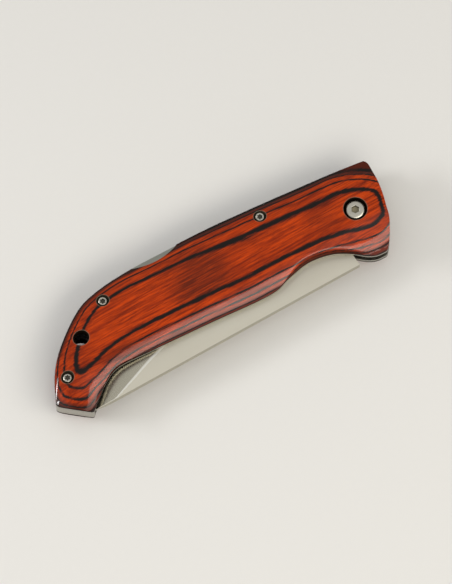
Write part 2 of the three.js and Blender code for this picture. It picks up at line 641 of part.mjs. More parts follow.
// The spacer fills the butt between the liners, and leaves a pocket that the tip swings out of
function rearSpacer() {
  const tipRadius = Math.hypot(BLADE_REACH, spineY + TIP_RISE) + TIP_GAP;
  const tipArcStart = Math.PI + Math.asin((0.78 * FOOT_DROP) / tipRadius);
  const tipArcEnd = Math.PI + Math.asin((1.1 * FOOT_DROP) / tipRadius);
  const wall = LANYARD_RADIUS + 1.9;
  const inner = new THREE.SplineCurve([
    at(spacerFront, SPACER_WEB),
    at(-0.5 * (UPPER_SCREW_REAR + LANYARD_REAR), 0.85 * SPACER_WEB),
    at(LANYARD.x + 0.7 * wall, LANYARD.y - 0.75 * wall),
    at(-0.5 * (LANYARD_REAR + LOWER_SCREW_REAR), -LOWER_SCREW_DROP),
    at(-tipRadius * Math.cos(tipArcStart - Math.PI), tipRadius * Math.sin(tipArcStart)),
  ]);
  const pocket = [at(spacerFront, 2 * BACK_HEIGHT), ...sampled(inner, 24)];
  for (let i = 1; i <= 6; i += 1) {
    const angle = THREE.MathUtils.lerp(tipArcStart, tipArcEnd, i / 6);
    pocket.push(at(tipRadius * Math.cos(angle), tipRadius * Math.sin(angle)));
  }
  pocket.push(at(2 * HANDLE_FRONT, -2 * LOBE_DROP), at(2 * HANDLE_FRONT, 2 * BACK_HEIGHT));
  const kerf = [
    at(spacerFront - SPRING_HOLD, SPRING_HEIGHT - SPRING_THICKNESS / 2 - KERF_GAP),
    at(spacerFront + CUT_MARGIN, SPRING_HEIGHT - SPRING_THICKNESS / 2 - KERF_GAP),
    at(spacerFront + CUT_MARGIN, SPRING_HEIGHT + SPRING_THICKNESS / 2 + KERF_GAP),
    at(spacerFront - SPRING_HOLD, SPRING_HEIGHT + SPRING_THICKNESS / 2 + KERF_GAP),
  ];
  const [low, high] = [GAP_BOTTOM - CUT_MARGIN, GAP_TOP + CUT_MARGIN];
  return cutAll(plate(outline, GAP_BOTTOM, GAP_TOP), [
    plate(pocket, low, high),
    plate(kerf, low, high),
    rod(UPPER, SLEEVE_RADIUS + SLEEVE_GAP, low, high),
    rod(LOWER, SLEEVE_RADIUS + SLEEVE_GAP, low, high),
    rod(LANYARD, LANYARD_RADIUS, low, high),
  ]);
}

// A screw or a flanged head, turned about Z from its profile: the head's rim is eased, and its
// face is slightly domed. The head sits on z = 0 and the shank reaches down from it.
function turnedScrew(headRadius, headHeight, shankRadius, shankLength) {
  const ease = 0.18 * headHeight;
  const profile = [
    at(0, -shankLength),
    at(shankRadius, -shankLength),
    at(shankRadius, 0),
    at(headRadius, 0),
    at(headRadius, headHeight - 2 * ease),
    at(headRadius - ease, headHeight - ease),
    at(0.55 * headRadius, headHeight),
    at(0, headHeight),
  ];
  const geometry = new THREE.LatheGeometry(profile, ROUND_SIDES);
  geometry.rotateX(Math.PI / 2);
  return geometry;
}

// The six-lobe socket of a small screw
function lobedSocket(radius, depth) {
  const points = [];
  for (let i = 0; i < 24; i += 1) {
    const angle = (i / 24) * 2 * Math.PI;
    const reach = radius * (1 + 0.17 * Math.cos(6 * angle));
    points.push(at(reach * Math.cos(angle), reach * Math.sin(angle)));
  }
  return plate(points, -depth, CUT_MARGIN);
}

// A turned piece for the front side, and the same turned over for the back side
function onFront(geometry, place, seat) {
  return geometry.clone().translate(place.x, place.y, FRONT_LINER_TOP + seat);
}
function onBack(geometry, place, seat) {
  return turnedOver(geometry).translate(place.x, place.y, BACK_LINER_BOTTOM - seat);
}

function smallScrew(place, onSide) {
  const seat = screwSeat(place);
  const shankLength = seat + LINER_THICKNESS + SCREW_REACH;
  const body = toSolid(turnedScrew(SCREW_HEAD_RADIUS, SCREW_HEAD_HEIGHT, SCREW_SHANK_RADIUS, shankLength));
  const socket = lobedSocket(SCREW_SOCKET_RADIUS, SCREW_SOCKET_DEPTH).translate([0, 0, SCREW_HEAD_HEIGHT]);
  return toSolid(onSide(toGeometry(body.subtract(socket)), place, seat));
}

// The pivot screw's shank enters the barrel, which comes up from the back side
const barrelTop = FRONT_LINER_TOP + pivotSeat - 2 * PIVOT_GAP;
const barrelSeatLevel = BACK_LINER_BOTTOM - pivotSeat;
const pivotShankLength = 0.7 * (barrelTop - barrelSeatLevel);
function hexSocket() {
  const [radius, height] = [PIVOT_SOCKET_RADIUS, 2 * PIVOT_SOCKET_DEPTH];
  const geometry = new THREE.CylinderGeometry(radius, radius, height, 6);
  geometry.rotateX(Math.PI / 2);
  return toSolid(geometry.translate(0, 0, PIVOT_HEAD_HEIGHT));
}

function pivotScrew() {
  const turned = turnedScrew(PIVOT_HEAD_RADIUS, PIVOT_HEAD_HEIGHT, PIVOT_SHANK_RADIUS, pivotShankLength);
  return toSolid(onFront(toGeometry(toSolid(turned).subtract(hexSocket())), PIVOT, pivotSeat));
}

function pivotBarrel() {
  const length = barrelTop - barrelSeatLevel;
  const turned = turnedScrew(PIVOT_HEAD_RADIUS, PIVOT_HEAD_HEIGHT, PIVOT_RADIUS, length);
  const headed = toSolid(turned).subtract(hexSocket());
  const boreBottom = barrelTop - pivotShankLength - 2 * PIVOT_GAP;
  const bore = rod(PIVOT, PIVOT_SHANK_RADIUS + SCREW_GAP, boreBottom, barrelTop + CUT_MARGIN);
  return toSolid(onBack(toGeometry(headed), PIVOT, pivotSeat)).subtract(bore);
}

function sleeve(place, radius) {
  return rod(place, radius, GAP_BOTTOM, GAP_TOP)
    .subtract(rod(place, SCREW_SHANK_RADIUS + SCREW_GAP, GAP_BOTTOM - CUT_MARGIN, GAP_TOP + CUT_MARGIN, 24));
}

const finish = (color, roughness, metalness) => () => (
  new THREE.MeshStandardMaterial({ color, roughness, metalness })
);
const laminatedWood = finish(0x9c2f12, 0.3, 0);
const brushedSteel = finish(0xb9b4aa, 0.35, 1);
const bladeSteel = finish(0xcfcbc2, 0.28, 1);
const screwSteel = finish(0x8f8d88, 0.3, 1);
const bronze = finish(0xb07a3c, 0.4, 1);

const knife = new THREE.Group();
function addPiece(name, solid, material) {
  const mesh = new THREE.Mesh(toGeometry(solid), material);
  mesh.name = name;
  knife.add(mesh);
}

addPiece('front_scale', frontScale(), laminatedWood());
addPiece('back_scale', backScale(), laminatedWood());
addPiece('front_liner', liner(GAP_TOP), brushedSteel());
addPiece('back_liner', liner(BACK_LINER_BOTTOM), brushedSteel());
addPiece('rear_spacer', rearSpacer(), brushedSteel());
addPiece('blade', blade(), bladeSteel());
addPiece('front_washer', washer(GAP_TOP - WASHER_THICKNESS), bronze());
addPiece('back_washer', washer(GAP_BOTTOM), bronze());
addPiece('pivot_barrel', pivotBarrel(), screwSteel());
addPiece('pivot_screw', pivotScrew(), screwSteel());
addPiece('lock_bar', lockBar(), brushedSteel());
addPiece('lock_spring', lockSpring(), brushedSteel());
addPiece('lock_sleeve', sleeve(LOCK, LOCK_SLEEVE_RADIUS), screwSteel());
addPiece('upper_sleeve', sleeve(UPPER, SLEEVE_RADIUS), screwSteel());
addPiece('lower_sleeve', sleeve(LOWER, SLEEVE_RADIUS), screwSteel());
for (const [name, place] of [['lock', LOCK], ['upper', UPPER], ['lower', LOWER]]) {
  addPiece(`${name}_screw_front`, smallScrew(place, onFront), screwSteel());
  addPiece(`${name}_screw_back`, smallScrew(place, onBack), screwSteel());
}

// The origin is the middle of the closed knife's footprint, on the surface that it lies on
const extent = new THREE.Box3().setFromObject(knife, true);
const middle = extent.getCenter(new THREE.Vector3());
knife.position.set(-middle.x, -middle.y, -extent.min.z);

export default knife;
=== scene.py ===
from math import asin, atan2, cos, hypot, inf, pi, radians, sin, sqrt, tau

import bpy
import numpy as np
from mathutils import Matrix, Vector
from mathutils.geometry import delaunay_2d_cdt


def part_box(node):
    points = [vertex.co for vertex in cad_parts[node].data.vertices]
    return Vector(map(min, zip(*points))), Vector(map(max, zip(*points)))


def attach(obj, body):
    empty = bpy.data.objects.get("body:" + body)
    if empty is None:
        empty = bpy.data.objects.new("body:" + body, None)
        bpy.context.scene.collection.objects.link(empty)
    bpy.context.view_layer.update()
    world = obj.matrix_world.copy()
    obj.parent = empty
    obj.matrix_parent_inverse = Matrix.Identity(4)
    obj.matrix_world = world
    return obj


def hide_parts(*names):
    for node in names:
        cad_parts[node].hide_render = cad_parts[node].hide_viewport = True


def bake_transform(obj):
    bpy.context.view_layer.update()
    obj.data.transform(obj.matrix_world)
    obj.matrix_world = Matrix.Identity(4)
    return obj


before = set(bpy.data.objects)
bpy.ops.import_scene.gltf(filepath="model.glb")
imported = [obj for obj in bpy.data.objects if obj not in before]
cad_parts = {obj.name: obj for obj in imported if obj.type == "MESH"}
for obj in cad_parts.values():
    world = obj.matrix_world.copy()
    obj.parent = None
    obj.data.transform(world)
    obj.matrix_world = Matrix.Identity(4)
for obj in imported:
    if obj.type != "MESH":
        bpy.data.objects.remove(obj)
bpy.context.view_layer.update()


# HANDLE OUTLINE
# Both scales, both liners and the rear spacer were clamped together and ground to one outline, so
# it is drawn once. It is in millimetres from the blade's pivot: +X to the front, +Y to the back.

MM = 0.001
pivot_low, pivot_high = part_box("pivot_screw")
PIVOT_PLACE = (pivot_low + pivot_high) / 2

HANDLE_FRONT = 12.3
HANDLE_REAR = 118.0
BACK_HEIGHT = 19.8
FRONT_HEIGHT = 14.3
FRONT_CORNER = 0.9
BUTT_CORNER_DROP = 8
FOOT_REAR = 108.4
FOOT_DROP = 16.6
FOOT_CORNER = 0.8
WAIST_DROP = 6.9
PALM_DROP = 10.3
ARCH_DROP = 7.2
LOBE_DROP = 16.5
SPLINE_SAMPLES = 60
OUTLINE_STEP = 0.45


def scaled(length, height, shares, level=0):
    """Places from their shares of a length and of a height above a level."""
    return [(x * length, level + y * height) for x, y in shares]


def spline(points, spacing=OUTLINE_STEP):
    """A smooth line through the points, as places a given distance apart."""
    points = np.array(points, float)
    before = np.vstack([points[:1], points[:-1]])[:-1]
    after = np.vstack([points[1:], points[-1:]])[1:]
    start, end = points[:-1], points[1:]
    leave, arrive = (end - before) / 2, (after - start) / 2
    t = np.linspace(0, 1, SPLINE_SAMPLES, endpoint=False)[:, None, None]
    fine = (
        (2 * start - 2 * end + leave + arrive) * t**3
        + (3 * end - 3 * start - 2 * leave - arrive) * t**2
        + leave * t
        + start
    )
    fine = np.vstack([fine.transpose(1, 0, 2).reshape(-1, 2), points[-1:]])
    return evenly(fine, spacing)


def evenly(line, spacing):
    """The same line, in steps of one length."""
    line = np.array(line, float)
    lengths = np.linalg.norm(np.diff(line, axis=0), axis=1)
    travelled = np.concatenate([[0], np.cumsum(lengths)])
    steps = max(1, round(travelled[-1] / spacing))
    stops = np.linspace(0, travelled[-1], steps + 1)
    return np.column_stack([np.interp(stops, travelled, line[:, i]) for i in (0, 1)])


back_edge = spline([
    (HANDLE_FRONT - FRONT_CORNER, FRONT_HEIGHT),
    *scaled(-HANDLE_REAR, BACK_HEIGHT, [
        (0.07, 0.826), (0.27, 0.934), (0.43, 0.996), (0.644, 1),
        (0.763, 0.922), (0.83, 0.755), (0.915, 0.366), (0.966, 0),
    ]),
    (-HANDLE_REAR, -BUTT_CORNER_DROP),
])
foot_start = (-FOOT_REAR - FOOT_CORNER, -FOOT_DROP + 0.6 * FOOT_CORNER)
foot_end = (-FOOT_REAR + 0.45 * FOOT_CORNER, -FOOT_DROP + 0.8 * FOOT_CORNER)
butt_edge = spline([
    (-HANDLE_REAR, -BUTT_CORNER_DROP),
    (-0.994 * HANDLE_REAR, -1.18 * BUTT_CORNER_DROP),
    (-(0.62 * FOOT_REAR + 0.38 * HANDLE_REAR), -(0.68 * FOOT_DROP + 0.32 * BUTT_CORNER_DROP)),
    foot_start,
])
foot_edge = spline([
    foot_start,
    (-FOOT_REAR - 0.14 * FOOT_CORNER, -FOOT_DROP + 0.35 * FOOT_CORNER),
    foot_end,
], OUTLINE_STEP / 2)
belly_edge = spline([
    foot_end,
    *scaled(-FOOT_REAR, -FOOT_DROP, [(0.959, 0.753), (0.922, 0.572)]),
    *scaled(-FOOT_REAR, -WAIST_DROP, [(0.885, 1.087), (0.84, 1)]),
    *scaled(-FOOT_REAR, -PALM_DROP, [(0.74, 0.747), (0.553, 0.874), (0.406, 1), (0.332, 1)]),
    *scaled(-FOOT_REAR, -ARCH_DROP, [(0.277, 1.19), (0.203, 1), (0.129, 1.18)]),
    *scaled(-FOOT_REAR, -LOBE_DROP, [(0.074, 0.708), (0.037, 0.902), (0.009, 0.985)]),
    (0.18 * HANDLE_FRONT, -LOBE_DROP),
])
front_edge = spline([
    *scaled(HANDLE_FRONT, -LOBE_DROP, [
        (0.18, 1), (0.26, 0.965), (0.45, 0.785), (0.68, 0.475), (0.77, 0.24), (0.86, 0),
    ]),
    (0.96 * HANDLE_FRONT, 0.45 * FRONT_HEIGHT),
    (HANDLE_FRONT, FRONT_HEIGHT - 2 * FRONT_CORNER),
    (HANDLE_FRONT - FRONT_CORNER, FRONT_HEIGHT),
])


def line_at(line, x):
    """How high a line that runs towards the rear lies, at places along the handle."""
    return np.interp(x, line[::-1, 0], line[::-1, 1])


def around(centre, radius, turns):
    return np.column_stack([centre[0] + radius * np.cos(turns), centre[1] + radius * np.sin(turns)])


def circle(centre, radius, sides):
    return around(centre, radius, np.arange(sides) * tau / sides)


def arc(centre, radius, start, end, steps):
    return around(centre, radius, np.linspace(start, end, steps + 1))


def closed(loop):
    return np.vstack([loop, loop[:1]])


# The thumb recess is a round bite out of the back. The liners and the scales share it.
RECESS_REAR = 65
RECESS_WIDTH = 17.4
RECESS_DEPTH = 2.15
RECESS_RADIUS = ((RECESS_WIDTH / 2) ** 2 + RECESS_DEPTH**2) / (2 * RECESS_DEPTH)
RECESS_STEPS = 43
recess_bottom = line_at(back_edge, -RECESS_REAR) - RECESS_DEPTH
recess_centre = np.array([-RECESS_REAR, recess_bottom + RECESS_RADIUS])
bitten = np.linalg.norm(back_edge - recess_centre, axis=1) < RECESS_RADIUS
first, last = np.flatnonzero(bitten)[[0, -1]]
bite_turns = [atan2(*(back_edge[i] - recess_centre)[::-1]) for i in (first, last)]
recess_edge = arc(recess_centre, RECESS_RADIUS, *bite_turns, RECESS_STEPS)
bitten_back = np.vstack([back_edge[:first], recess_edge, back_edge[last + 1:]])
handle_outline = np.vstack([
    side[:-1] for side in (bitten_back, butt_edge, foot_edge, belly_edge, front_edge)
])


SHARPEST_MITRE = 0.5


def inset(loop, distance):
    """A closed line moved to its own left, which is inwards where it runs counter-clockwise."""
    along = np.roll(loop, -1, axis=0) - loop
    along /= np.linalg.norm(along, axis=1)[:, None]
    left = np.column_stack([-along[:, 1], along[:, 0]])
    middle = left + np.roll(left, 1, axis=0)
    middle /= np.linalg.norm(middle, axis=1)[:, None]
    reach = np.clip(np.einsum("ij,ij->i", middle, left), SHARPEST_MITRE, 1)
    return loop + middle * (distance / reach)[:, None]


SHORTEST_SQUARED = 1e-12


def distance_to(places, line):
    """How far each place is to the left of an open line, or below zero to the right of it."""
    places = np.atleast_2d(places)
    nearest = np.full(len(places), np.inf)
    for a, b in zip(line[:-1], line[1:]):
        span = b - a
        share = np.clip((places - a) @ span / max(span @ span, SHORTEST_SQUARED), 0, 1)
        away = places - a - share[:, None] * span
        side = np.where(span[0] * away[:, 1] < span[1] * away[:, 0], -1, 1)
        far = np.hypot(*away.T)
        nearest = np.where(far < abs(nearest), side * far, nearest)
    return nearest


def within(places, loops):
    """Which places lie inside the first closed line and outside the others, which are its holes."""
    crossings = np.zeros(len(places), int)
    for loop in loops:
        for (ax, ay), (bx, by) in zip(loop, np.roll(loop, -1, axis=0)):
            if ay != by:
                spans = (ay > places[:, 1]) != (by > places[:, 1])
                crossings += spans & (places[:, 0] < ax + (places[:, 1] - ay) * (bx - ax) / (by - ay))
    return crossings % 2 == 1


class Shell:
    """A closed surface that is put together from loops of points, walls between loops and caps."""

    def __init__(self):
        self.points = np.zeros((0, 3))
        self.faces = []
        self.kinds = []
        self.kind = 0

    def face(self, *corners):
        self.faces.append(corners)
        self.kinds.append(self.kind)

    def loop(self, line, level):
        """Points on a flat line at a level, which is one number or a number for each point."""
        start = len(self.points)
        levels = np.broadcast_to(level, len(line))
        self.points = np.vstack([self.points, np.column_stack([line, levels])])
        return np.arange(start, start + len(line))

    def walls(self, *rings):
        """A wall between each loop and the next, which faces right of their way where it rises."""
        for lower, upper in zip(rings[:-1], rings[1:]):
            for a, b, c, d in zip(lower, np.roll(lower, -1), np.roll(upper, -1), upper):
                self.face(a, b, c, d)

    def cap(self, loops, upward, inside=None, level=None, creases=()):
        """Triangles between loops, through inner points at their levels. Creases are pairs of these."""
        start = len(self.points)
        if inside is not None:
            self.points = np.vstack([self.points, np.column_stack([inside, level])])
        known = np.concatenate([*loops, np.arange(start, len(self.points))]).astype(int)
        flat = self.points[known, :2]
        edges = []
        for loop in loops:
            first = len(edges)
            edges += [(first + i, first + (i + 1) % len(loop)) for i in range(len(loop))]
        offset = sum(len(loop) for loop in loops)
        edges += [(offset + a, offset + b) for a, b in creases]
        inside_only, tolerance, with_sources = 1, 1e-6, True
        _, _, triangles, sources, _, _ = delaunay_2d_cdt(
            [Vector(p) for p in flat], edges, [], inside_only, tolerance, with_sources
        )
        triangles = np.array([[sources[i][0] for i in t] for t in triangles])
        kept = within(flat[triangles].mean(axis=1), [self.points[loop, :2] for loop in loops])
        for a, b, c in known[triangles[kept]]:
            u, v = self.points[b, :2] - self.points[a, :2], self.points[c, :2] - self.points[a, :2]
            rising = u[0] * v[1] - u[1] * v[0] > 0
            self.face(*((a, b, c) if rising == upward else (a, c, b)))

    def piece(self, name, finishes, body, slot, nodes, sharp=32):
        """The surface as an object that stands for its CAD nodes."""
        mesh = bpy.data.meshes.new(name)
        places = self.points * MM + np.array([PIVOT_PLACE.x, PIVOT_PLACE.y, 0])
        mesh.from_pydata(places, [], self.faces)
        for finish in finishes if isinstance(finishes, list) else [finishes]:
            mesh.materials.append(finish)
        mesh.polygons.foreach_set("material_index", self.kinds)
        mesh.validate()
        mesh.update()
        mesh.polygons.foreach_set("use_smooth", [True] * len(mesh.polygons))
        mesh.set_sharp_from_angle(angle=radians(sharp))
        made = bpy.data.objects.new(name, mesh)
        bpy.context.scene.collection.objects.link(made)
        if body:
            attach(made, body)
        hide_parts(*nodes)
        return made


# SCALES
# The two scales are laminated wood, dyed in layers, pressed with resin, crowned by hand on a belt
# and polished. Small screws hold them to the liners, through stepped holes.

SCALE_THICKNESS = 5
THINNEST_EDGE = 0.6
RIM_EASE = 0.12


def levels_of(node):
    """The lowest and highest level of a node, in millimetres."""
    low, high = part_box(node)
    return low.z / MM, high.z / MM


BACK_LINER_BOTTOM = levels_of("back_liner")[0]
FRONT_LINER_TOP = levels_of("front_liner")[1]
MIDDLE_LEVEL = (BACK_LINER_BOTTOM + FRONT_LINER_TOP) / 2

# Each side was rolled over by hand, from a rail along its edge. The belly's rail runs straight
# past the finger arch and the waist, which were cut afterwards, and so leave a higher wall.
back_rail = np.vstack([
    spline([
        *scaled(HANDLE_FRONT, FRONT_HEIGHT, [
            (1.4, 0.26), (1, 0.6), (0.7, 0.79), (0.33, 0.95), (-0.16, 1.06), (-1, 1.115),
        ]),
        *scaled(-HANDLE_REAR, BACK_HEIGHT, [
            (0.27, 0.902), (0.43, 0.963), (0.53, 0.972), (0.644, 0.994),
        ]),
    ]),
    back_edge[back_edge[:, 0] < -0.65 * HANDLE_REAR],
])
belly_rail = spline([
    foot_end,
    *scaled(-FOOT_REAR, -FOOT_DROP, [(0.959, 0.753), (0.915, 0.64)]),
    (-0.84 * FOOT_REAR, -1.18 * WAIST_DROP),
    *scaled(-FOOT_REAR, -PALM_DROP, [
        (0.74, 0.76), (0.553, 0.874), (0.406, 1), (0.277, 1.03), (0.129, 1.15),
    ]),
    (-0.02 * FOOT_REAR, -0.9 * LOBE_DROP),
    *scaled(HANDLE_FRONT, -LOBE_DROP, [(0.34, 0.92), (1, 0.77), (1.7, 0.56)]),
])
lobe_rail = belly_edge[belly_edge[:, 0] > -0.32 * FOOT_REAR]

# Rail, height of the edge along it, how far in the roundness reaches, how full it is, how steeply
# the face goes on down outside the rail, and where along the handle it has faded away
crown_sides = [
    (back_rail, 1.6, 10.7, 0.8, 0.2, -inf),
    (belly_rail, 0.8, 11.6, 0.88, 0, -inf),
    (np.vstack([butt_edge, foot_edge]), 0.9, 17, 0.85, None, -inf),
    (lobe_rail, 1.2, 1.9, 0.75, None, -0.31 * FOOT_REAR),
]
FRONT_DROP = 0.8
FRONT_RUN = 5
FADE_RUN = 8
# The drops from all sides join as the terms of a length do, to this power in place of the square
JOINING_POWER = 3


def crown_at(places):
    """The height of a scale's outer face above its liner."""
    places = np.atleast_2d(places)
    drops = []
    for rail, edge, run, fullness, slope, fade in crown_sides:
        inward = distance_to(places, rail)
        if slope is None:
            inward = abs(inward)
        outward = np.clip(1 - inward / run, 0, 1)
        drop = (SCALE_THICKNESS - edge) * (1 - (1 - outward**2) ** fullness)
        drop *= np.clip((places[:, 0] - fade) / FADE_RUN, 0, 1)
        drops.append(drop + (slope or 0) * np.maximum(0, -inward))
    front = np.clip(abs(distance_to(places, front_edge)) / FRONT_RUN, 0, 1)
    drops.append(FRONT_DROP * (1 - front) ** 2)
    drop = sum(np.array(drops) ** JOINING_POWER) ** (1 / JOINING_POWER)
    return np.maximum(SCALE_THICKNESS - drop, THINNEST_EDGE)


def centre_of(node):
    """The middle of a node in the handle's plane, in millimetres from the pivot."""
    low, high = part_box(node)
    x = (low.x + high.x) / 2 - PIVOT_PLACE.x
    y = (low.y + high.y) / 2 - PIVOT_PLACE.y
    return np.array([x, y]) / MM


LANYARD_PLACE = np.array([-HANDLE_REAR + 17.9, 6.7])
LANYARD_RADIUS = 2.65
LANYARD_SIDES = 64
PIVOT_SIDES = 72
SCREW_SIDES = 48
PIVOT_RECESS_RADIUS = 3.9
PIVOT_BORE_RADIUS = 2.6
PIVOT_SINK = 0.6
PIVOT_HEAD_HEIGHT = 2
SCREW_RECESS_RADIUS = 2.1
SCREW_BORE_RADIUS = 1.15
SCREW_SINK = 0.75
SCREW_HEAD_HEIGHT = 0.9
screw_places = {name: centre_of(f"{name}_screw_front") for name in ("lock", "upper", "lower")}
lanyard_hole = circle(LANYARD_PLACE, LANYARD_RADIUS, LANYARD_SIDES)
pivot_seat = crown_at((0, 0))[0] - PIVOT_SINK - PIVOT_HEAD_HEIGHT


def screw_seat(place):
    return crown_at(place)[0] - SCREW_SINK - SCREW_HEAD_HEIGHT


# Stepped holes as centre, outer radius, height of the step, bore radius and sides
stepped_holes = [(np.zeros(2), PIVOT_RECESS_RADIUS, pivot_seat, PIVOT_BORE_RADIUS, PIVOT_SIDES)] + [
    (place, SCREW_RECESS_RADIUS, screw_seat(place), SCREW_BORE_RADIUS, SCREW_SIDES)
    for place in screw_places.values()
]
SHOULDER_STEPS = (0.06, 0.16, 0.3, 0.5, 0.75, 1.05, 1.4, 1.8, 2.3, 2.9, 3.6, 4.4, 5.3)
SHOULDER_WIDTH = 5.8
GRID_STEP = 0.9
ROW_SHARE = 0.87
TRUE_SHARE = 0.97


def crown_points():
    """Points over a scale's outer face: dense lines along its shoulder, and a loose grid inside."""
    edge = closed(handle_outline)
    found = []
    for step in SHOULDER_STEPS:
        drawn_in = inset(handle_outline, step)
        found.append(drawn_in[distance_to(drawn_in, edge) > TRUE_SHARE * step])
    low, high = edge.min(axis=0), edge.max(axis=0)
    rows = np.arange(low[1], high[1], GRID_STEP * ROW_SHARE)
    grid = np.array([
        (x + (row % 2) * GRID_STEP / 2, y)
        for row, y in enumerate(rows) for x in np.arange(low[0], high[0], GRID_STEP)
    ])
    inner = (distance_to(grid, edge) > SHOULDER_WIDTH) & within(grid, [handle_outline])
    found = np.vstack([*found, grid[inner]])
    holes = [(centre, radius) for centre, radius, *_ in stepped_holes]
    for centre, radius in [*holes, (LANYARD_PLACE, LANYARD_RADIUS)]:
        found = found[np.hypot(*(found - centre).T) > radius + 2.5 * RIM_EASE]
    return found


scale_points = crown_points()
scale_levels = crown_at(scale_points)


def eased_hole(centre, radius, sides, foot):
    """The rings of a hole in a scale, as lines and levels: its eased rim, then its wall."""
    rim = circle(centre, radius + RIM_EASE, sides)
    wall = circle(centre, radius, sides)
    return [(rim, crown_at(rim)), (wall, crown_at(wall) - RIM_EASE), (wall, foot)]


def scale_shell():
    """A scale on its liner, whose face is at zero."""
    shell = Shell()
    top = shell.loop(handle_outline, crown_at(handle_outline))
    foot = shell.loop(handle_outline, 0)
    shell.walls(foot, top)
    holes = []
    for centre, radius, seat, bore, sides in stepped_holes:
        core = circle(centre, bore, sides)
        holes.append([*eased_hole(centre, radius, sides, seat), (core, seat), (core, 0)])
    holes.append(eased_hole(LANYARD_PLACE, LANYARD_RADIUS, LANYARD_SIDES, 0))
    rims, bores = [], []
    for hole in holes:
        rings = [shell.loop(line, level) for line, level in hole]
        shell.walls(*rings)
        rims.append(rings[0])
        bores.append(rings[-1])
    shell.cap([top, *rims], True, scale_points, scale_levels)
    shell.cap([foot, *bores], False)
    return shell


def put_on_liner(shell, side, seat=0):
    """Moves what was drawn upright, on a liner at zero, out to the front liner or the back one."""
    if side == "front":
        shell.points[:, 2] += FRONT_LINER_TOP + seat
    else:
        shell.points[:, 2] = BACK_LINER_BOTTOM - seat - shell.points[:, 2]
        shell.faces = [face[::-1] for face in shell.faces]


class Signal:
    """The output of a shader node, on which Python's arithmetic adds Math nodes."""

    def __init__(self, finish, socket):
        self.finish, self.socket = finish, socket

    def maths(self, operation, *values):
        return self.finish.node("Math", dict(enumerate(values)), operation=operation)

    def __add__(self, other):
        return self.maths("ADD", self, other)

    def __radd__(self, other):
        return self.maths("ADD", other, self)

    def __sub__(self, other):
        return self.maths("SUBTRACT", self, other)

    def __rsub__(self, other):
        return self.maths("SUBTRACT", other, self)

    def __mul__(self, other):
        return self.maths("MULTIPLY", self, other)

    def __rmul__(self, other):
        return self.maths("MULTIPLY", other, self)

    def __abs__(self):
        return self.maths("ABSOLUTE", self)


class Finish:
    """A surface finish, as a material made of nodes."""

    def __init__(self, name):
        self.material = bpy.data.materials.new(name)
        self.material.use_nodes = True
        self.tree = self.material.node_tree
        self.tree.nodes.clear()

    def node(self, kind, sockets=None, output=0, **settings):
        """A node, its settings, the values or links of its sockets, and one of its outputs."""
        made = self.tree.nodes.new("ShaderNode" + kind)
        for name, value in settings.items():
            setattr(made, name, value)
        for name, value in (sockets or {}).items():
            if isinstance(value, Signal):
                self.tree.links.new(value.socket, made.inputs[name])
            else:
                made.inputs[name].default_value = value
        return Signal(self, made.outputs[output])

    def mix(self, share, a, b):
        """A colour between two others, which are links or plain colours."""
        a, b = [(*c, 1) if isinstance(c, tuple) else c for c in (a, b)]
        return self.node("Mix", {0: share, 6: a, 7: b}, output=2, data_type="RGBA")

    def rise(self, value, low, high):
        """A smooth step from 0 at low to 1 at high."""
        return self.node(
            "MapRange", {"Value": value, "From Min": low, "From Max": high},
            interpolation_type="SMOOTHSTEP",
        )

    def fall(self, value, low, high):
        """A smooth step from 1 at low to 0 at high."""
        return 1 - self.rise(value, low, high)

    def place(self, scale=(1, 1, 1)):
        """Where a point is on the object at rest, in millimetres from the pivot, then scaled."""
        at = self.node("TexCoord", output="Object")
        shift = (-PIVOT_PLACE.x / MM, -PIVOT_PLACE.y / MM, 0)
        at = self.node("VectorMath", {0: at, "Scale": 1 / MM}, operation="SCALE")
        at = self.node("VectorMath", {0: at, 1: shift}, operation="ADD")
        return self.node("VectorMath", {0: at, 1: scale}, operation="MULTIPLY")

    def reach(self, at, place):
        """How far a point is, along the handle's plane, from a place on it."""
        flat = self.node("VectorMath", {0: at, 1: (1, 1, 0)}, operation="MULTIPLY")
        centre = (place[0], place[1], 0)
        return self.node("VectorMath", {0: flat, 1: centre}, output=1, operation="DISTANCE")

    def tilt(self, axis):
        """How far the surface faces along an axis, from 0 to 1."""
        normal = self.node("TexCoord", output="Normal")
        return abs(self.node("SeparateXYZ", {0: normal}, output=axis))

    def noise(self, pace, detail=3, roughness=0.55):
        """Soft noise, from how fast it changes along each axis, in turns to the millimetre."""
        return self.node("TexNoise", {
            "Vector": self.place(pace), "Scale": 1, "Detail": detail, "Roughness": roughness,
        })

    def bumps(self, height, strength, distance):
        sockets = {"Strength": strength, "Distance": distance, "Height": height}
        return self.node("Bump", sockets)

    def surface(self, **sockets):
        """Ends the material with the main shader, whose sockets are named here."""
        shader = self.node("BsdfPrincipled", {
            name.replace("_", " ").title().replace("Ior", "IOR"): value
            for name, value in sockets.items()
        })
        end = self.tree.nodes.new("ShaderNodeOutputMaterial")
        self.tree.links.new(shader.socket, end.inputs["Surface"])
        return self.material


# Dark dyed layers lie one above another, and the crown cuts through them in long rings. Heights
# are in millimetres above the liner.
LAYER_PITCH = 1.1
TOP_LAYER = 4.6
LAYER_HALF = (0.15, 0.13, 0.17, 0.15, 0.45)
LAYER_FEATHER = 0.07
BRIGHT_ORANGE = (0.53, 0.051, 0.002)
ORANGE = (0.3, 0.026, 0.002)
DARK_RED = (0.085, 0.007, 0.002)
RED_BROWN = (0.1, 0.013, 0.004)
UMBER = (0.04, 0.007, 0.003)
BURNT = (0.022, 0.005, 0.003)
NEAR_BLACK = (0.01, 0.007, 0.006)
HOLE_SHADE = (0.012, 0.009, 0.006)
SCREW_SEAT_SHADE = (0.045, 0.04, 0.026)
RIM_HIGHLIGHT = (0.16, 0.13, 0.09)
MIDDLE_CLOUD = (-56, 4)
FRONT_CLOUD = (-10, 3)
WAIST_CLOUD = (-90, -5)
BUTT_HOLLOW = (-109, -5)
WOOD_ROUGHNESS = 0.4
COAT_ROUGHNESS = 0.09


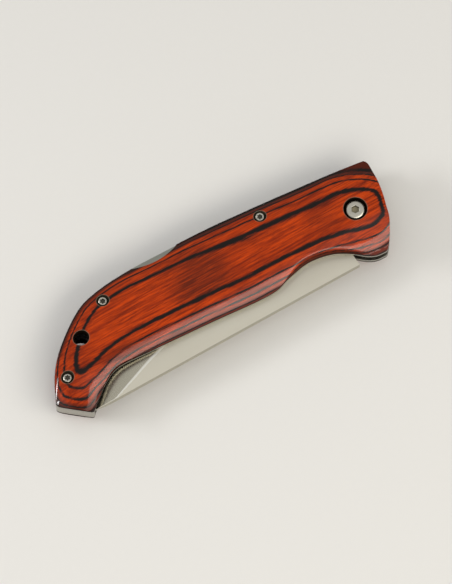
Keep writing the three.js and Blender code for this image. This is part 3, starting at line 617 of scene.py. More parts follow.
def laminated_wood():
    wood = Finish("laminated_wood")
    at = wood.place()
    x, y, z = (wood.node("SeparateXYZ", {0: at}, output=i) for i in range(3))
    height = abs(z - MIDDLE_LEVEL) - (FRONT_LINER_TOP - MIDDLE_LEVEL)
    upright = wood.tilt(axis=2)

    # The layers rise a little towards the back of the butt, and waver
    climb = wood.rise(x, -40, -66) * 0.33 + wood.rise(x, -64, -92) * 0.3 - 0.2
    corner = wood.fall(wood.reach(at, BUTT_HOLLOW), 1, 9) * 0.07
    sway = (wood.noise((0.06, 0.15, 0.05), detail=2) - 0.5) * 0.14
    ripple = (wood.noise((0.2, 0.9, 0.4)) - 0.5) * 0.14
    fray = wood.noise((0.22, 2.4, 1.2), detail=4, roughness=0.6) - 0.5
    layer = height - TOP_LAYER + climb * wood.rise(y, -4, 12) - corner + sway + ripple
    ragged = fray * (0.24 + (1 - upright) * 0.9)
    patchy = wood.rise(wood.noise((0.09, 0.9, 0.5)), 0.3, 0.5) * 0.45 + 0.55
    dark = 0
    for i, half in enumerate(LAYER_HALF):
        apart = abs(layer + i * LAYER_PITCH) + ragged
        line = wood.fall(apart, half - LAYER_FEATHER, half + LAYER_FEATHER)
        dark = dark + (line if i == 0 else line * patchy)

    # The grain: fine pores, darker streaks along the handle and a few broad darker clouds
    pores = wood.rise(wood.noise((0.22, 4.2, 2), detail=4, roughness=0.65), 0.5, 0.66)
    fine = wood.rise(wood.noise((0.09, 1.7, 1), detail=5, roughness=0.65), 0.42, 0.64)
    streaks = wood.rise(wood.noise((0.04, 0.55, 0.4), detail=4, roughness=0.6), 0.4, 0.68)
    clouds = wood.rise(wood.noise((0.05, 0.1, 0.1)), 0.46, 0.66)
    above_layer, below_layer = wood.rise(y, -3, -0.5), wood.fall(y, -2.5, -0.5)
    middle_cloud = wood.fall(wood.reach(at, MIDDLE_CLOUD), 5, 15) * above_layer
    front_cloud = wood.fall(wood.reach(at, FRONT_CLOUD), 1, 8) * 0.5
    waist_cloud = wood.fall(wood.reach(at, WAIST_CLOUD), 3, 12) * below_layer
    colour = wood.mix(streaks, BRIGHT_ORANGE, ORANGE)
    colour = wood.mix(fine * 0.64, colour, DARK_RED)
    colour = wood.mix(clouds * 0.3, colour, DARK_RED)
    cloudy = (middle_cloud + front_cloud + waist_cloud * 0.8) * (fine * 0.45 + 0.5)
    colour = wood.mix(cloudy, colour, RED_BROWN)
    colour = wood.mix(pores * 0.5, colour, DARK_RED)

    # The lower layers are darker along the edges. On top of that, painted shade darkens the back's low
    # layers, the steep walls and the seam on the liner.
    steep = wood.fall(upright, 0.35, 0.8)
    back = wood.rise(y, 2, 8)
    butt = wood.fall(x, -114, -106)
    # Painted shade, on top of the darker low layers: the back side, away from the lamp, is darker low
    # down.
    colour = wood.mix(wood.fall(height, 2.3, 3.1) * back * 0.85, colour, UMBER)
    colour = wood.mix(wood.fall(height, 1.5, 2.1) * 0.85, colour, RED_BROWN)
    # More painted shade on the back's lowest layers, less of it towards the front corner.
    front_corner = wood.rise(x, -3, 5)
    back_shade = back * (0.9 - front_corner * 0.55)
    colour = wood.mix(wood.fall(height, 1.8, 2.3) * back_shade, colour, BURNT)
    colour = wood.mix(wood.fall(height, 0.9, 1.3) * butt * (1 - back) * 0.9, colour, BURNT)
    # The steep walls are darkened by their slope: partly their darker side grain, partly painted shade.
    colour = wood.mix(steep * 0.75, colour, UMBER)
    # Painted shade: a near black line in the lowest wood, along the seam on the liner.
    colour = wood.mix(wood.fall(height, 0.3, 0.5) * 0.85, colour, NEAR_BLACK)
    colour = wood.mix(dark, colour, NEAR_BLACK)

    # The coat shines most along the belly's roll and at the butt. The holes are dull, painted dark as
    # shade inside, with a pale painted highlight round their rims.
    rolled = wood.fall(y, -7, -3) * wood.rise(x, -112, -104)
    rear_end = wood.fall(x, -116.5, -113)
    polish = (1 - steep * 0.9) * (0.3 + rolled * 0.6 + rear_end * 0.7)
    for place, radius, shade_colour in [
        (LANYARD_PLACE, LANYARD_RADIUS, HOLE_SHADE), ((0, 0), PIVOT_RECESS_RADIUS, HOLE_SHADE),
        *((place, SCREW_RECESS_RADIUS, SCREW_SEAT_SHADE) for place in screw_places.values()),
    ]:
        away = wood.reach(at, place)
        # A pale painted highlight round each hole's eased rim.
        rim_highlight = wood.fall(away, radius + RIM_EASE, radius + 2.5 * RIM_EASE)
        colour = wood.mix(rim_highlight * 0.7, colour, RIM_HIGHLIGHT)
        # Painted shade: each hole's wall and seat are painted dark.
        bored = wood.fall(away, radius + 0.02, radius + 0.5 * RIM_EASE)
        colour = wood.mix(bored, colour, shade_colour)
        polish = polish * (1 - bored)

    grain = wood.noise((0.35, 7, 4), detail=4, roughness=0.6)
    return wood.surface(
        base_color=colour, roughness=pores * 0.1 + WOOD_ROUGHNESS,
        normal=wood.bumps(grain, strength=0.15, distance=0.06 * MM),
        coat_weight=polish, coat_roughness=COAT_ROUGHNESS, specular_ior_level=0.0,
    )


wood_finish = laminated_wood()
for side in ("front", "back"):
    scale = scale_shell()
    put_on_liner(scale, side)
    scale.piece(f"{side}_scale_wood", wood_finish, "handle", "laminated_wood", [f"{side}_scale"])


# LINERS
# Two stainless plates, a millimetre thick, that the blade and the lock bar work between. They
# were ground flush with the scales, and their edges stay bright.

LINER_EASE = 0.08
BRIGHT_STEEL = (0.43, 0.41, 0.36)
GREY_STEEL = (0.34, 0.32, 0.28)
BORE_SHADE = (0.004, 0.004, 0.004)


def slab(outline, holes, bottom, top, ease):
    """A flat plate with an outline, holes and lightly broken edges."""
    shell = Shell()
    lower_faces, upper_faces = [], []
    for loop in [outline, *(hole[::-1] for hole in holes)]:
        drawn_in = inset(loop, ease)
        rings = [
            shell.loop(drawn_in, bottom),
            shell.loop(loop, bottom + ease),
            shell.loop(loop, top - ease),
            shell.loop(drawn_in, top),
        ]
        shell.walls(*rings)
        lower_faces.append(rings[0])
        upper_faces.append(rings[-1])
    shell.cap(lower_faces, False)
    shell.cap(upper_faces, True)
    return shell


def polished_steel():
    steel = Finish("liner_steel")
    rub = steel.noise((0.25, 6, 6), detail=4, roughness=0.6)
    cloud = steel.noise((0.12, 0.12, 0.3), detail=2)
    from_hole = steel.reach(steel.place(), LANYARD_PLACE)
    # Painted shade: the lanyard bore is near black, dull and not metallic.
    bored = steel.fall(from_hole, LANYARD_RADIUS, LANYARD_RADIUS + 0.1)
    colour = steel.mix(cloud * 0.5, BRIGHT_STEEL, GREY_STEEL)
    return steel.surface(
        base_color=steel.mix(bored, colour, BORE_SHADE), metallic=1 - bored,
        roughness=rub * 0.12 + bored * 0.6 + 0.2,
        normal=steel.bumps(rub, strength=0.1, distance=0.04 * MM),
    )


steel_finish = polished_steel()
liner_bores = [circle(centre, bore, sides) for centre, _, _, bore, sides in stepped_holes]
for node in ("front_liner", "back_liner"):
    plate = slab(handle_outline, [*liner_bores, lanyard_hole], *levels_of(node), LINER_EASE)
    plate.piece(f"{node}_plate", steel_finish, "handle", "liner_steel", [node])


# REAR SPACER
# A steel bar between the liners, round the butt from the lock bar's end to the blade's tip. It is
# ground flush with them, drilled for two sleeves and the lanyard, and slotted for the leaf spring.

GAP_BOTTOM, GAP_TOP = levels_of("rear_spacer")
BAR_REAR = 73.8
BAR_END_GAP = 0.7
SPACER_FRONT = -BAR_REAR - BAR_END_GAP
SPACER_EASE = 0.05
SPACER_WEB = 10.4
LANYARD_WEB = 1.9
SLOT_DEPTH = 10
SLOT_LEVEL = 12
SLOT_HALF = 0.55
SLEEVE_BORE = 2.12
BLADE_REACH = 107.5
SPINE_LINE = -15.65
TIP_RISE = 0.45
TIP_GAP = 0.5
TIP_ARC_STEPS = 23
TIP_ARC_SHARES = (0.78, 1.1)

tip_radius = hypot(BLADE_REACH, SPINE_LINE + TIP_RISE) + TIP_GAP
tip_turns = [pi + asin(share * FOOT_DROP / tip_radius) for share in TIP_ARC_SHARES]
tip_arc = arc((0, 0), tip_radius, *tip_turns, TIP_ARC_STEPS)
web_radius = LANYARD_RADIUS + LANYARD_WEB
upper_place, lower_place = screw_places["upper"], screw_places["lower"]
spacer_inner = spline([
    (SPACER_FRONT, SPACER_WEB),
    (0.5 * (upper_place[0] + LANYARD_PLACE[0]), 0.85 * SPACER_WEB),
    (LANYARD_PLACE[0] + 0.7 * web_radius, LANYARD_PLACE[1] - 0.75 * web_radius),
    (0.5 * (LANYARD_PLACE[0] + lower_place[0]), lower_place[1]),
    tip_arc[0],
])
leaving = belly_edge[np.hypot(*belly_edge.T) > tip_radius]
leaving = leaving[leaving[:, 0] < -0.9 * FOOT_REAR]
arc_kept = tip_arc[tip_arc[:, 1] > leaving[-1][1] + 0.05]
spring_slot = [
    (SPACER_FRONT, SLOT_LEVEL - SLOT_HALF),
    (SPACER_FRONT - SLOT_DEPTH, SLOT_LEVEL - SLOT_HALF),
    (SPACER_FRONT - SLOT_DEPTH, SLOT_LEVEL + SLOT_HALF),
    (SPACER_FRONT, SLOT_LEVEL + SLOT_HALF),
]
spacer_loop = np.vstack([
    [(SPACER_FRONT, SPACER_WEB)], spring_slot, [(SPACER_FRONT, line_at(back_edge, SPACER_FRONT))],
    back_edge[back_edge[:, 0] < SPACER_FRONT - 0.1][:-1], butt_edge[:-1], foot_edge[:-1], leaving,
    arc_kept[::-1], spacer_inner[-2:0:-1],
])
sleeve_bores = [circle(place, SLEEVE_BORE, SCREW_SIDES) for place in (upper_place, lower_place)]
spacer = slab(spacer_loop, [*sleeve_bores, lanyard_hole], GAP_BOTTOM, GAP_TOP, SPACER_EASE)
spacer.piece("rear_spacer_bar", steel_finish, "handle", "liner_steel", ["rear_spacer"])


# BLADE
# One piece of stainless steel, flat ground from the grind line to the edge and satin finished. The
# round tang has a bored pivot hole, a flat and a notch that the lock bar drops into.

BLADE_HALF = 1.35
BLADE_DEPTH = 23.8
EDGE_LINE = SPINE_LINE + BLADE_DEPTH
GRIND_DEPTH = 11.6
GRIND_MEETS_SPINE = BLADE_REACH - 6.5
RICASSO_REAR = 14
PLUNGE_LENGTH = 5
SHOULDER_HALF = 0.3
EDGE_HALF = 0.04
EDGE_BEVEL = 0.9
LEAST_DEPTH = 0.04
CHOIL_RADIUS = 1.3
CHOIL_RISE = 0.2
TANG_RADIUS = 9.6
TANG_FLAT = 8.3
NOTCH_FRONT = 7.4
NOTCH_LEAN = 0.6
NOTCH_REAR = 1.4
KICK_HEIGHT = 10
KICK_FRONT = 0.8
KICK_REAR = 3
KICK_RISE_PULL = 0.6
KICK_FALL_PULL = 2.2
BLADE_STEP = 0.5
TANG_STEP = 0.6
TANG_ARC_STEPS = 56
KICK_STEPS = 8
CHOIL_STEPS = 18
SPINE_STOPS = 190
SATIN_LIGHT = (0.82, 0.78, 0.66)
SATIN_DARK = (0.72, 0.68, 0.57)
GROUND_STEEL = (0.55, 0.52, 0.42)
GRIND_LINE_HIGHLIGHT = (0.98, 0.96, 0.88)

cutting_edge = spline([
    (-RICASSO_REAR, EDGE_LINE),
    (-0.37 * BLADE_REACH, EDGE_LINE + 0.1),
    *scaled(-BLADE_REACH, -BLADE_DEPTH, [
        (0.56, 0.015), (0.65, 0.078), (0.744, 0.195), (0.837, 0.385), (0.93, 0.68),
    ], EDGE_LINE),
    (-BLADE_REACH, SPINE_LINE + TIP_RISE),
], BLADE_STEP)
grind_line = spline([
    (-RICASSO_REAR, SPINE_LINE + GRIND_DEPTH),
    *scaled(-GRIND_MEETS_SPINE, GRIND_DEPTH, [
        (0.6, 0.98), (0.78, 0.66), (0.91, 0.28), (1, 0),
    ], SPINE_LINE),
], BLADE_STEP)


def blade_lines(x):
    """Where the spine, grind line, bevel and edge lie at a place along the blade."""
    taper = np.clip((BLADE_REACH + x) / (BLADE_REACH - GRIND_MEETS_SPINE), 0, 1)
    spine = SPINE_LINE + TIP_RISE * (1 - taper) ** 2
    spine_half = SHOULDER_HALF + (BLADE_HALF - SHOULDER_HALF) * taper
    edge = np.maximum(line_at(cutting_edge, x), spine + LEAST_DEPTH)
    bevel = np.minimum(EDGE_BEVEL, (edge - spine) / 3)
    grind = np.clip(line_at(grind_line, x), spine + bevel / 3, edge - 1.5 * bevel)
    return spine, grind, edge - bevel, edge, spine_half


def blade_half(places):
    """Half the blade's thickness at places on it."""
    halves = np.full(len(places), BLADE_HALF)
    for i in np.flatnonzero(places[:, 0] <= -RICASSO_REAR):
        x, y = places[i]
        _, grind, shoulder, edge, spine_half = blade_lines(x)
        t = np.clip((-x - RICASSO_REAR) / PLUNGE_LENGTH, 0, 1)
        plunge = t * t * (3 - 2 * t)
        shoulder_half = min(BLADE_HALF + (SHOULDER_HALF - BLADE_HALF) * plunge, spine_half)
        edge_half = min(BLADE_HALF + (EDGE_HALF - BLADE_HALF) * plunge, spine_half)
        halves[i] = np.interp(y, [grind, shoulder, edge], [spine_half, shoulder_half, edge_half])
    return halves


def bend(a, pull, b, steps):
    """A short curve from a to b, drawn towards a third place."""
    t = np.linspace(0, 1, steps + 1)[:, None]
    a, pull, b = np.array(a), np.array(pull), np.array(b)
    return (1 - t) ** 2 * a + 2 * t * (1 - t) * pull + t**2 * b


notch_turn = asin(NOTCH_REAR / TANG_RADIUS)
flat_turn = asin(TANG_FLAT / TANG_RADIUS)
choil_turn = asin(CHOIL_RISE)
choil_centre = (-RICASSO_REAR + CHOIL_RADIUS, EDGE_LINE + CHOIL_RISE * CHOIL_RADIUS)
notch_corner = (-NOTCH_FRONT - NOTCH_LEAN, -TANG_FLAT)
flat_half = TANG_RADIUS * cos(flat_turn)
flat_ends = [(flat_half, TANG_FLAT), (-flat_half, TANG_FLAT)]
kick_top = (-NOTCH_FRONT - KICK_FRONT, KICK_HEIGHT)
kick_foot = (-NOTCH_FRONT - KICK_REAR, EDGE_LINE)
tang_line = np.vstack([
    evenly([(-NOTCH_FRONT, SPINE_LINE), notch_corner], TANG_STEP),
    evenly([notch_corner, (-NOTCH_REAR, -TANG_FLAT)], TANG_STEP)[1:],
    arc((0, 0), TANG_RADIUS, -pi / 2 - notch_turn, flat_turn, TANG_ARC_STEPS),
    evenly(flat_ends, TANG_STEP)[1:],
    bend(flat_ends[1], (-NOTCH_FRONT + KICK_RISE_PULL, KICK_HEIGHT), kick_top, KICK_STEPS)[1:],
    bend(kick_top, (-NOTCH_FRONT - KICK_FALL_PULL, KICK_HEIGHT), kick_foot, KICK_STEPS)[1:],
    arc(choil_centre, CHOIL_RADIUS, -choil_turn, -pi + choil_turn, CHOIL_STEPS),
])
spine_stops = np.linspace(-BLADE_REACH + 0.3, -NOTCH_FRONT - BLADE_STEP, SPINE_STOPS)
spine_run = np.column_stack([spine_stops, blade_lines(spine_stops)[0]])
blade_loop = np.vstack([tang_line, cutting_edge[1:], spine_run])


COLUMN_STEP = 0.55
ROW_STEP = 0.8
TANG_GRID = 1.1


def blade_points():
    """Points over the blade's sides, and the creases, as pairs, along its grind line and bevel."""
    found, lines = [], [[], []]
    for x in np.arange(-RICASSO_REAR - 0.4, -BLADE_REACH + 1, -COLUMN_STEP):
        spine, grind, shoulder, _, _ = blade_lines(x)
        for line, y in zip(lines, (grind, shoulder)):
            line.append(len(found))
            found.append((x, y))
        for low_y, high_y in ((spine, grind), (grind, shoulder)):
            rows = int((high_y - low_y) / ROW_STEP)
            found += [(x, low_y + (high_y - low_y) * (i + 1) / (rows + 1)) for i in range(rows)]
    outline = closed(blade_loop)
    for x in np.arange(-RICASSO_REAR, TANG_RADIUS, TANG_GRID):
        for y in np.arange(SPINE_LINE, KICK_HEIGHT, TANG_GRID):
            if abs(distance_to((x, y), outline))[0] > BLADE_STEP:
                found.append((x, y))
    return np.array(found), [pair for line in lines for pair in zip(line[:-1], line[1:])]


def blade_shell():
    shell = Shell()
    found, creases = blade_points()
    bore = circle((0, 0), PIVOT_BORE_RADIUS, PIVOT_SIDES)[::-1]
    loop_half, found_half = blade_half(blade_loop), blade_half(found)
    sides = [
        [
            shell.loop(blade_loop, MIDDLE_LEVEL + sign * loop_half),
            shell.loop(bore, MIDDLE_LEVEL + sign * BLADE_HALF),
        ]
        for sign in (-1, 1)
    ]
    for lower, upper in zip(*sides):
        shell.walls(lower, upper)
    for loops, sign in zip(sides, (-1, 1)):
        shell.cap(loops, sign > 0, found, MIDDLE_LEVEL + sign * found_half, creases)
    return shell


def satin_steel():
    """Satin on the flats, finer where it was ground, with a painted highlight along the grind line
    between.
    """
    satin = Finish("blade_steel")
    tilted = satin.tilt(axis=1)
    ground = satin.rise(tilted, 0.04, 0.08)
    # A painted highlight along the grind line, where the faces turn.
    rounded = satin.rise(tilted, 0.004, 0.02) * (1 - ground)
    rub = satin.noise((6, 0.35, 6), detail=4, roughness=0.6)
    cloud = satin.noise((0.06, 0.16, 0.3))
    colour = satin.mix(cloud * 0.7, SATIN_LIGHT, SATIN_DARK)
    colour = satin.mix(ground, colour, GROUND_STEEL)
    colour = satin.mix(rounded, colour, GRIND_LINE_HIGHLIGHT)
    return satin.surface(
        base_color=colour, metallic=1.0,
        roughness=rub * 0.08 + cloud * 0.06 + 0.36 - ground * 0.16,
        normal=satin.bumps(rub, strength=0.05, distance=0.03 * MM),
    )


blade_finish = satin_steel()
blade_shell().piece("ground_blade", blade_finish, "blade", "blade_steel", ["blade"], sharp=10)


# LOCK BAR
# A steel bar that rocks on a sleeve under the back. Its nose sits over the tang, and its rear end
# shows in the thumb recess, where it is pressed to let the blade go.

BAR_BOTTOM, BAR_TOP = levels_of("lock_bar")
LOCK_PLACE = screw_places["lock"]
BAR_PROUD = 0.7
BAR_UNDERCUT = 1.3
BAR_BOSS_RADIUS = 4
BAR_ARM_DEPTH = 5.1
NOSE_FRONT = 7.2
NOSE_REAR = 2.2
NOSE_LIFT = 0.3
SPRING_FRONT = 49
LOCK_BORE = 2.35
LOCK_SIDES = 56
BAR_CORNER = 1
BAR_EASE = 0.15
CORNER_STEPS = 6
BOSS_STEPS = 24
NOSE_SLANT = 0.5
ARM_STEP = 0.6
LOCK_GREY = (0.4, 0.4, 0.34)
LOCK_DARK = (0.27, 0.28, 0.25)

nose_bottom = sqrt((TANG_RADIUS + NOSE_LIFT) ** 2 - NOSE_REAR**2)
bar_underside = nose_bottom + BAR_UNDERCUT


def bar_top_at(x):
    """The bar's back slants from just under the handle's, at its nose, to just over it, at its end."""
    return line_at(back_edge, x) - BAR_PROUD * (x - LOCK_PLACE[0]) / (RECESS_REAR + LOCK_PLACE[0])


def arm_bottom_at(x):
    return bar_top_at(x) - BAR_ARM_DEPTH


rear_bottom, spring_bottom = arm_bottom_at(-BAR_REAR), arm_bottom_at(-SPRING_FRONT)
boss_turn = asin(min(1, (LOCK_PLACE[1] - bar_underside) / BAR_BOSS_RADIUS))
top_stops = np.arange(NOSE_FRONT, -BAR_REAR, -OUTLINE_STEP)
corner_centre = (-BAR_REAR + BAR_CORNER, rear_bottom + BAR_CORNER)
arm_ends = [(corner_centre[0], rear_bottom), (-SPRING_FRONT, spring_bottom - ARM_STEP)]
bar_loop = np.vstack([
    np.column_stack([top_stops, bar_top_at(top_stops)]),
    [(-BAR_REAR, bar_top_at(-BAR_REAR))],
    arc(corner_centre, BAR_CORNER, pi, 1.5 * pi, CORNER_STEPS),
    evenly(arm_ends, 1)[1:],
    arc(LOCK_PLACE, BAR_BOSS_RADIUS, pi + boss_turn, tau - boss_turn, BOSS_STEPS),
    [(NOSE_REAR - NOSE_SLANT, bar_underside), (NOSE_REAR, nose_bottom), (NOSE_FRONT, nose_bottom)],
])


def rocker_steel():
    rocker = Finish("lock_steel")
    rub = rocker.noise((5, 0.5, 0.6), detail=4, roughness=0.6)
    cloud = rocker.noise((0.15, 0.3, 0.3))
    return rocker.surface(
        base_color=rocker.mix(cloud, LOCK_GREY, LOCK_DARK), metallic=1.0,
        roughness=rub * 0.12 + 0.32, normal=rocker.bumps(rub, strength=0.1, distance=0.04 * MM),
    )


lock_finish = rocker_steel()
lock_bore = circle(LOCK_PLACE, LOCK_BORE, LOCK_SIDES)
bar = slab(bar_loop, [lock_bore], BAR_BOTTOM, BAR_TOP, BAR_EASE)
bar.piece("rocking_lock_bar", lock_finish, "lock_bar", "lock_steel", ["lock_bar"])


# LEAF SPRING
# A strip of spring steel, held in the spacer's slot, that presses up under the lock bar's arm. It stays
# still in the slot.

SPRING_HALF = 0.4
SPRING_SIDE_GAP = 0.2
SPRING_END_GAP = 0.15
SPRING_TIP_RUN = 2.5
SPRING_EASE = 0.06
SPRING_STEP = 0.6
SPRING_SAG = 0.25

tip_x = -SPRING_FRONT - SPRING_TIP_RUN
tip_y = arm_bottom_at(tip_x) - ARM_STEP - NOSE_LIFT
strip = spline([
    (SPACER_FRONT - SLOT_DEPTH + SPRING_END_GAP, SLOT_LEVEL),
    (SPACER_FRONT, SLOT_LEVEL),
    (0.5 * (SPACER_FRONT - SPRING_FRONT), SLOT_LEVEL - SPRING_SAG),
    (tip_x, tip_y - SPRING_HALF),
    (-SPRING_FRONT, tip_y - 2 * SPRING_HALF),
], SPRING_STEP)
ahead = np.gradient(strip, axis=0)
ahead /= np.linalg.norm(ahead, axis=1)[:, None]
sideways = np.column_stack([-ahead[:, 1], ahead[:, 0]]) * SPRING_HALF
spring = slab(
    np.vstack([strip - sideways, (strip + sideways)[::-1]]), [],
    GAP_BOTTOM + SPRING_SIDE_GAP, GAP_TOP - SPRING_SIDE_GAP, SPRING_EASE,
)
leaf_spring = spring.piece("leaf_spring", lock_finish, None, "lock_steel", ["lock_spring"])
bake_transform(leaf_spring)


# WASHERS
# Two thin phosphor bronze washers on the barrel, one each side of the tang. They keep the blade
# clear of the liners as it turns.

WASHER_THICKNESS = 0.25
WASHER_RADIUS = 7
WASHER_EASE = 0.03
BRONZE = (0.62, 0.38, 0.16)
BROWN_BRONZE = (0.42, 0.24, 0.1)


def flat_ring(centre, outer, inner, bottom, top, ease, sides):
    return slab(circle(centre, outer, sides), [circle(centre, inner, sides)], bottom, top, ease)


def washer_bronze():
    bronze = Finish("washer_bronze")
    cloud, pits = bronze.noise((0.4, 0.4, 0.4)), bronze.noise((6, 6, 6))
    return bronze.surface(
        base_color=bronze.mix(cloud, BRONZE, BROWN_BRONZE), metallic=1.0,
        roughness=cloud * 0.2 + 0.3, normal=bronze.bumps(pits, strength=0.1, distance=0.03 * MM),
    )


washer_finish = washer_bronze()
for node, bottom in ("back_washer", GAP_BOTTOM), ("front_washer", GAP_TOP - WASHER_THICKNESS):
    washer = flat_ring(
        (0, 0), WASHER_RADIUS, PIVOT_BORE_RADIUS,
        bottom, bottom + WASHER_THICKNESS, WASHER_EASE, PIVOT_SIDES,
    )
    washer.piece(f"{node}_disc", washer_finish, "handle", "washer_bronze", [node])


# PIVOT
# The blade turns on a flanged barrel whose head is on the back side. The pivot screw enters it
# from the front. Both heads are rounded, have a hexagon socket and sit in a sunk round seat.

PIVOT_RADIUS = 2.5
PIVOT_GAP = 0.1
PIVOT_HEAD_RADIUS = 3.25
PIVOT_FACE_RADIUS = 1.7
PIVOT_SHOULDER = 1.25
PIVOT_SHANK_RADIUS = 1.5
BARREL_BORE_RADIUS = 1.65
HEXAGON_RADIUS = 1.4
HEXAGON_DEPTH = 1.1
HEXAGON_STEP = 0.3
SHANK_SHARE = 0.7
SHANK_EASE = 0.2
BARREL_EASE = 0.1
HEAD_EASE = 0.06
HEAD_STEPS = 8
SOCKET_EASE = 0.07
SOCKET_TAPER = 0.96
SOCKET_POINT = 1.15
TURNED_STEEL = (0.68, 0.65, 0.56)
GREY_SCREW = (0.52, 0.5, 0.43)
SOCKET_SHADE = (0.03, 0.027, 0.02)
SOCKET_DUST = (0.14, 0.13, 0.09)
HEXAGON_FLOOR = (0.36, 0.32, 0.21)


def shank(radius, ease, length):
    """The side of a plain shank, from the broken edge at its end up to its seat."""
    return [(radius - ease, -length), (radius, -length + ease), (radius, 0)]


def head_profile(radius, shoulder, face_radius, height):
    """The rounded side of a screw head, from its seat to its flat face."""
    rounding = [
        (face_radius + (radius - face_radius) * cos(t), shoulder + (height - shoulder) * sin(t))
        for t in np.linspace(0, pi / 2, HEAD_STEPS + 1)
    ]
    return [(radius - HEAD_EASE, 0), (radius, HEAD_EASE), *rounding]


def fit_screw(node, name, finishes, profile, sides, mouth, depth, place, seat, side):
    """A turned screw, whose socket has the second finish, in its hole from the front or back."""
    shell = Shell()
    rings = [shell.loop(circle((0, 0), radius, sides), level) for radius, level in profile]
    shell.walls(*rings)
    shell.cap([rings[0]], False)
    height = profile[-1][1]
    wide = shell.loop(mouth * (1 + SOCKET_EASE), height)
    top = shell.loop(mouth, height - SOCKET_EASE)
    foot = shell.loop(mouth * SOCKET_TAPER, height - depth)
    shell.cap([rings[-1], wide], True)
    shell.walls(wide, top)
    shell.kind = 1
    shell.walls(top, foot)
    shell.cap([foot], True, np.zeros((1, 2)), [height - SOCKET_POINT * depth])
    put_on_liner(shell, side, seat)
    shell.points[:, :2] += place
    shell.piece(name, finishes, "handle", "screw_steel", [node])


def screw_steel():
    screw = Finish("screw_steel")
    turning = screw.noise((3, 3, 3), detail=4, roughness=0.65)
    cloud = screw.noise((0.5, 0.5, 0.5), detail=2)
    return screw.surface(
        base_color=screw.mix(cloud, TURNED_STEEL, GREY_SCREW), metallic=1.0,
        roughness=turning * 0.16 + 0.24,
        normal=screw.bumps(turning, strength=0.12, distance=0.05 * MM),
    )


def socket_steel(name, floor_colour):
    """The same steel in the sockets, dull and flecked with dust, with painted shade on their walls and
    a colour of their own on their upward floors.
    """
    socket = Finish(name)
    dust = socket.noise((2.5, 2.5, 2.5), detail=4, roughness=0.7)
    bottom = socket.rise(socket.tilt(axis=2), 0.6, 0.95)
    # Painted shade: the socket walls are near black, flecked with dust.
    colour = socket.mix(dust, SOCKET_SHADE, SOCKET_DUST)
    colour = socket.mix(bottom * 0.9, colour, floor_colour)
    return socket.surface(base_color=colour, metallic=dust * 0.5 + 0.3, roughness=dust * 0.2 + 0.45)


screw_finish = screw_steel()
pivot_finishes = [screw_finish, socket_steel("hexagon_socket_steel", HEXAGON_FLOOR)]
corners = closed(circle((0, 0), HEXAGON_RADIUS, 6))
hexagon = np.vstack([
    evenly([a, b], HEXAGON_STEP)[:-1] for a, b in zip(corners[:-1], corners[1:])
])
barrel_length = (FRONT_LINER_TOP - BACK_LINER_BOTTOM) + 2 * pivot_seat - 2 * PIVOT_GAP
pivot_length = SHANK_SHARE * barrel_length
bore_end = pivot_length + 2 * PIVOT_GAP - barrel_length
pivot_head = head_profile(PIVOT_HEAD_RADIUS, PIVOT_SHOULDER, PIVOT_FACE_RADIUS, PIVOT_HEAD_HEIGHT)
pivot_profile = [*shank(PIVOT_SHANK_RADIUS, SHANK_EASE, pivot_length), *pivot_head]
barrel_profile = [
    (BARREL_BORE_RADIUS, bore_end), (BARREL_BORE_RADIUS, -barrel_length),
    *shank(PIVOT_RADIUS, BARREL_EASE, barrel_length), *pivot_head,
]
for side, node, name, profile in [
    ("front", "pivot_screw", "pivot_screw_head", pivot_profile),
    ("back", "pivot_barrel", "flanged_barrel", barrel_profile),
]:
    fit_screw(
        node, name, pivot_finishes, profile, PIVOT_SIDES, hexagon, HEXAGON_DEPTH,
        (0, 0), pivot_seat, side,
    )


# SMALL SCREWS AND SLEEVES
# Six short steel screws with six-lobe sockets hold the handle together, three from each side. They
# meet in three threaded sleeves between the liners.

SCREW_HEAD_RADIUS = 1.5
SCREW_FACE_RADIUS = 1.15
SCREW_SHOULDER = 0.5
SCREW_SHANK_RADIUS = 1
SCREW_REACH = 1.3
SCREW_EASE = 0.15
LOBE_RADIUS = 0.82
LOBE_SHARE = 0.17
LOBE_DEPTH = 0.6
STAR_POINTS = 60
STAR_FLOOR = (0.07, 0.065, 0.05)
SLEEVE_EASE = 0.05
LINER_THICKNESS = 1
SLEEVE_RADII = {"lock": 2.25, "upper": 2, "lower": 2}

small_finishes = [screw_finish, socket_steel("star_socket_steel", STAR_FLOOR)]
star_turns = np.arange(STAR_POINTS) * tau / STAR_POINTS
star_reach = LOBE_RADIUS * (1 + LOBE_SHARE * np.cos(6 * star_turns))
star = around((0, 0), star_reach, star_turns)
small_head = head_profile(SCREW_HEAD_RADIUS, SCREW_SHOULDER, SCREW_FACE_RADIUS, SCREW_HEAD_HEIGHT)
for name, place in screw_places.items():
    seat = screw_seat(place)
    length = seat + LINER_THICKNESS + SCREW_REACH
    profile = [*shank(SCREW_SHANK_RADIUS, SCREW_EASE, length), *small_head]
    for side in ("front", "back"):
        node = f"{name}_screw_{side}"
        fit_screw(
            node, f"{node}_head", small_finishes, profile, SCREW_SIDES, star, LOBE_DEPTH,
            place, seat, side,
        )
    sleeve = flat_ring(
        place, SLEEVE_RADII[name], SCREW_BORE_RADIUS, GAP_BOTTOM, GAP_TOP, SLEEVE_EASE, SCREW_SIDES
    )
    sleeve.piece(f"{name}_sleeve_tube", screw_finish, "handle", "screw_steel", [f"{name}_sleeve"])


# FLOOR
# The plain pale floor of the studio, matt and without a pattern. The knife lies flat on it, and
# it is no part of the knife.

FLOOR_HALF = 3
FLOOR_PALE = (0.72, 0.71, 0.69)
FLOOR_GREY = (0.66, 0.65, 0.63)

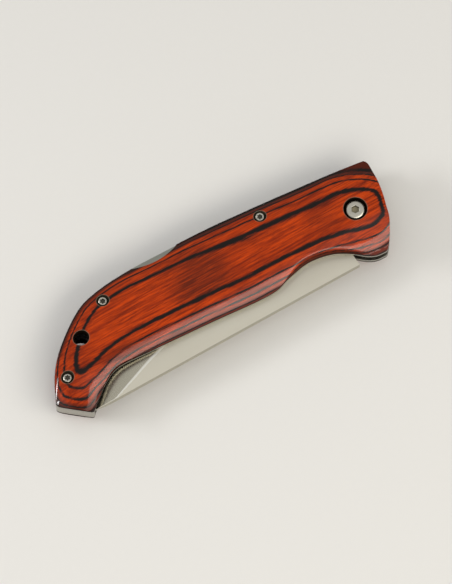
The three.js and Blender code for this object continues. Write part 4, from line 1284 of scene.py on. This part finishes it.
floor_corners = [(x * FLOOR_HALF, y * FLOOR_HALF, 0) for x, y in ((-1, -1), (1, -1), (1, 1), (-1, 1))]
floor_mesh = bpy.data.meshes.new("floor")
floor_mesh.from_pydata(floor_corners, [], [(0, 1, 2, 3)])
floor = bpy.data.objects.new("floor", floor_mesh)
bpy.context.scene.collection.objects.link(floor)
board = Finish("pale_board")
fleck = board.noise((0.5, 0.5, 0.5))
floor_mesh.materials.append(board.surface(
    base_color=board.mix(fleck * 0.2, FLOOR_PALE, FLOOR_GREY), roughness=0.85,
))


# LIGHT
# Soft studio light: a broad warm panel on the belly's side, whose glow lies along the rolled edge,
# a narrow one off the butt's end that picks out its corner, and a pale room all round.

ROOM_COLOUR = (1, 0.995, 0.98, 1)
ROOM_STRENGTH = 0.62


def panel(name, place, aim, width, height, power, colour=(1, 1, 1), spread=180):
    """A flat rectangular lamp, with places and sizes in metres, power in watts and its cone."""
    light = bpy.data.lights.new(name, "AREA")
    light.shape = "RECTANGLE"
    light.spread = radians(spread)
    light.size, light.size_y, light.energy, light.color = width, height, power, colour
    lamp = bpy.data.objects.new(name, light)
    lamp.location = Vector(place)
    lamp.rotation_euler = (Vector(aim) - Vector(place)).to_track_quat("-Z", "Y").to_euler()
    bpy.context.scene.collection.objects.link(lamp)


panel(
    "belly_panel", place=(0.164, -0.69, 0.7), aim=(0, 0, 0),
    width=1.3, height=0.42, power=5.6, colour=(1, 0.95, 0.84),
)
panel(
    "butt_panel", place=(-0.75, 0.44, 0.41), aim=(-0.05, 0, 0),
    width=0.5, height=0.12, power=0.36, spread=50,
)
world = bpy.data.worlds.new("studio")
bpy.context.scene.world = world
world.use_nodes = True
room = world.node_tree.nodes["Background"].inputs
room["Color"].default_value = ROOM_COLOUR
room["Strength"].default_value = ROOM_STRENGTH


# CAMERA
# The knife was photographed from above and a little from the belly's side, with the handle
# running up to the right.

CAMERA_TILT = radians(19)
HANDLE_SLANT = radians(30.2)
CAMERA_DISTANCE = 3.0
FRAME_WIDTH = 148.1 * MM
FACE_RISE = 6.4 * MM
AIM_X, AIM_Y = -50, -1.43

aim = Vector((PIVOT_PLACE.x + AIM_X * MM, PIVOT_PLACE.y + AIM_Y * MM, MIDDLE_LEVEL * MM))
right = Vector((cos(HANDLE_SLANT), -sin(HANDLE_SLANT), 0))
towards_camera = Vector((
    -sin(HANDLE_SLANT) * sin(CAMERA_TILT), -cos(HANDLE_SLANT) * sin(CAMERA_TILT), cos(CAMERA_TILT)
))
lens = bpy.data.cameras.new("camera")
lens.sensor_fit = "HORIZONTAL"
lens.sensor_width = 36
lens.lens = lens.sensor_width * (CAMERA_DISTANCE - FACE_RISE) / FRAME_WIDTH
lens.clip_start, lens.clip_end = 0.05, 20
camera = bpy.data.objects.new("camera", lens)
axes = Matrix((right, towards_camera.cross(right), towards_camera)).transposed()
camera.matrix_world = Matrix.Translation(aim + towards_camera * CAMERA_DISTANCE) @ axes.to_4x4()
bpy.context.scene.collection.objects.link(camera)
bpy.context.scene.camera = camera
bpy.context.scene.view_settings.view_transform = "Standard"
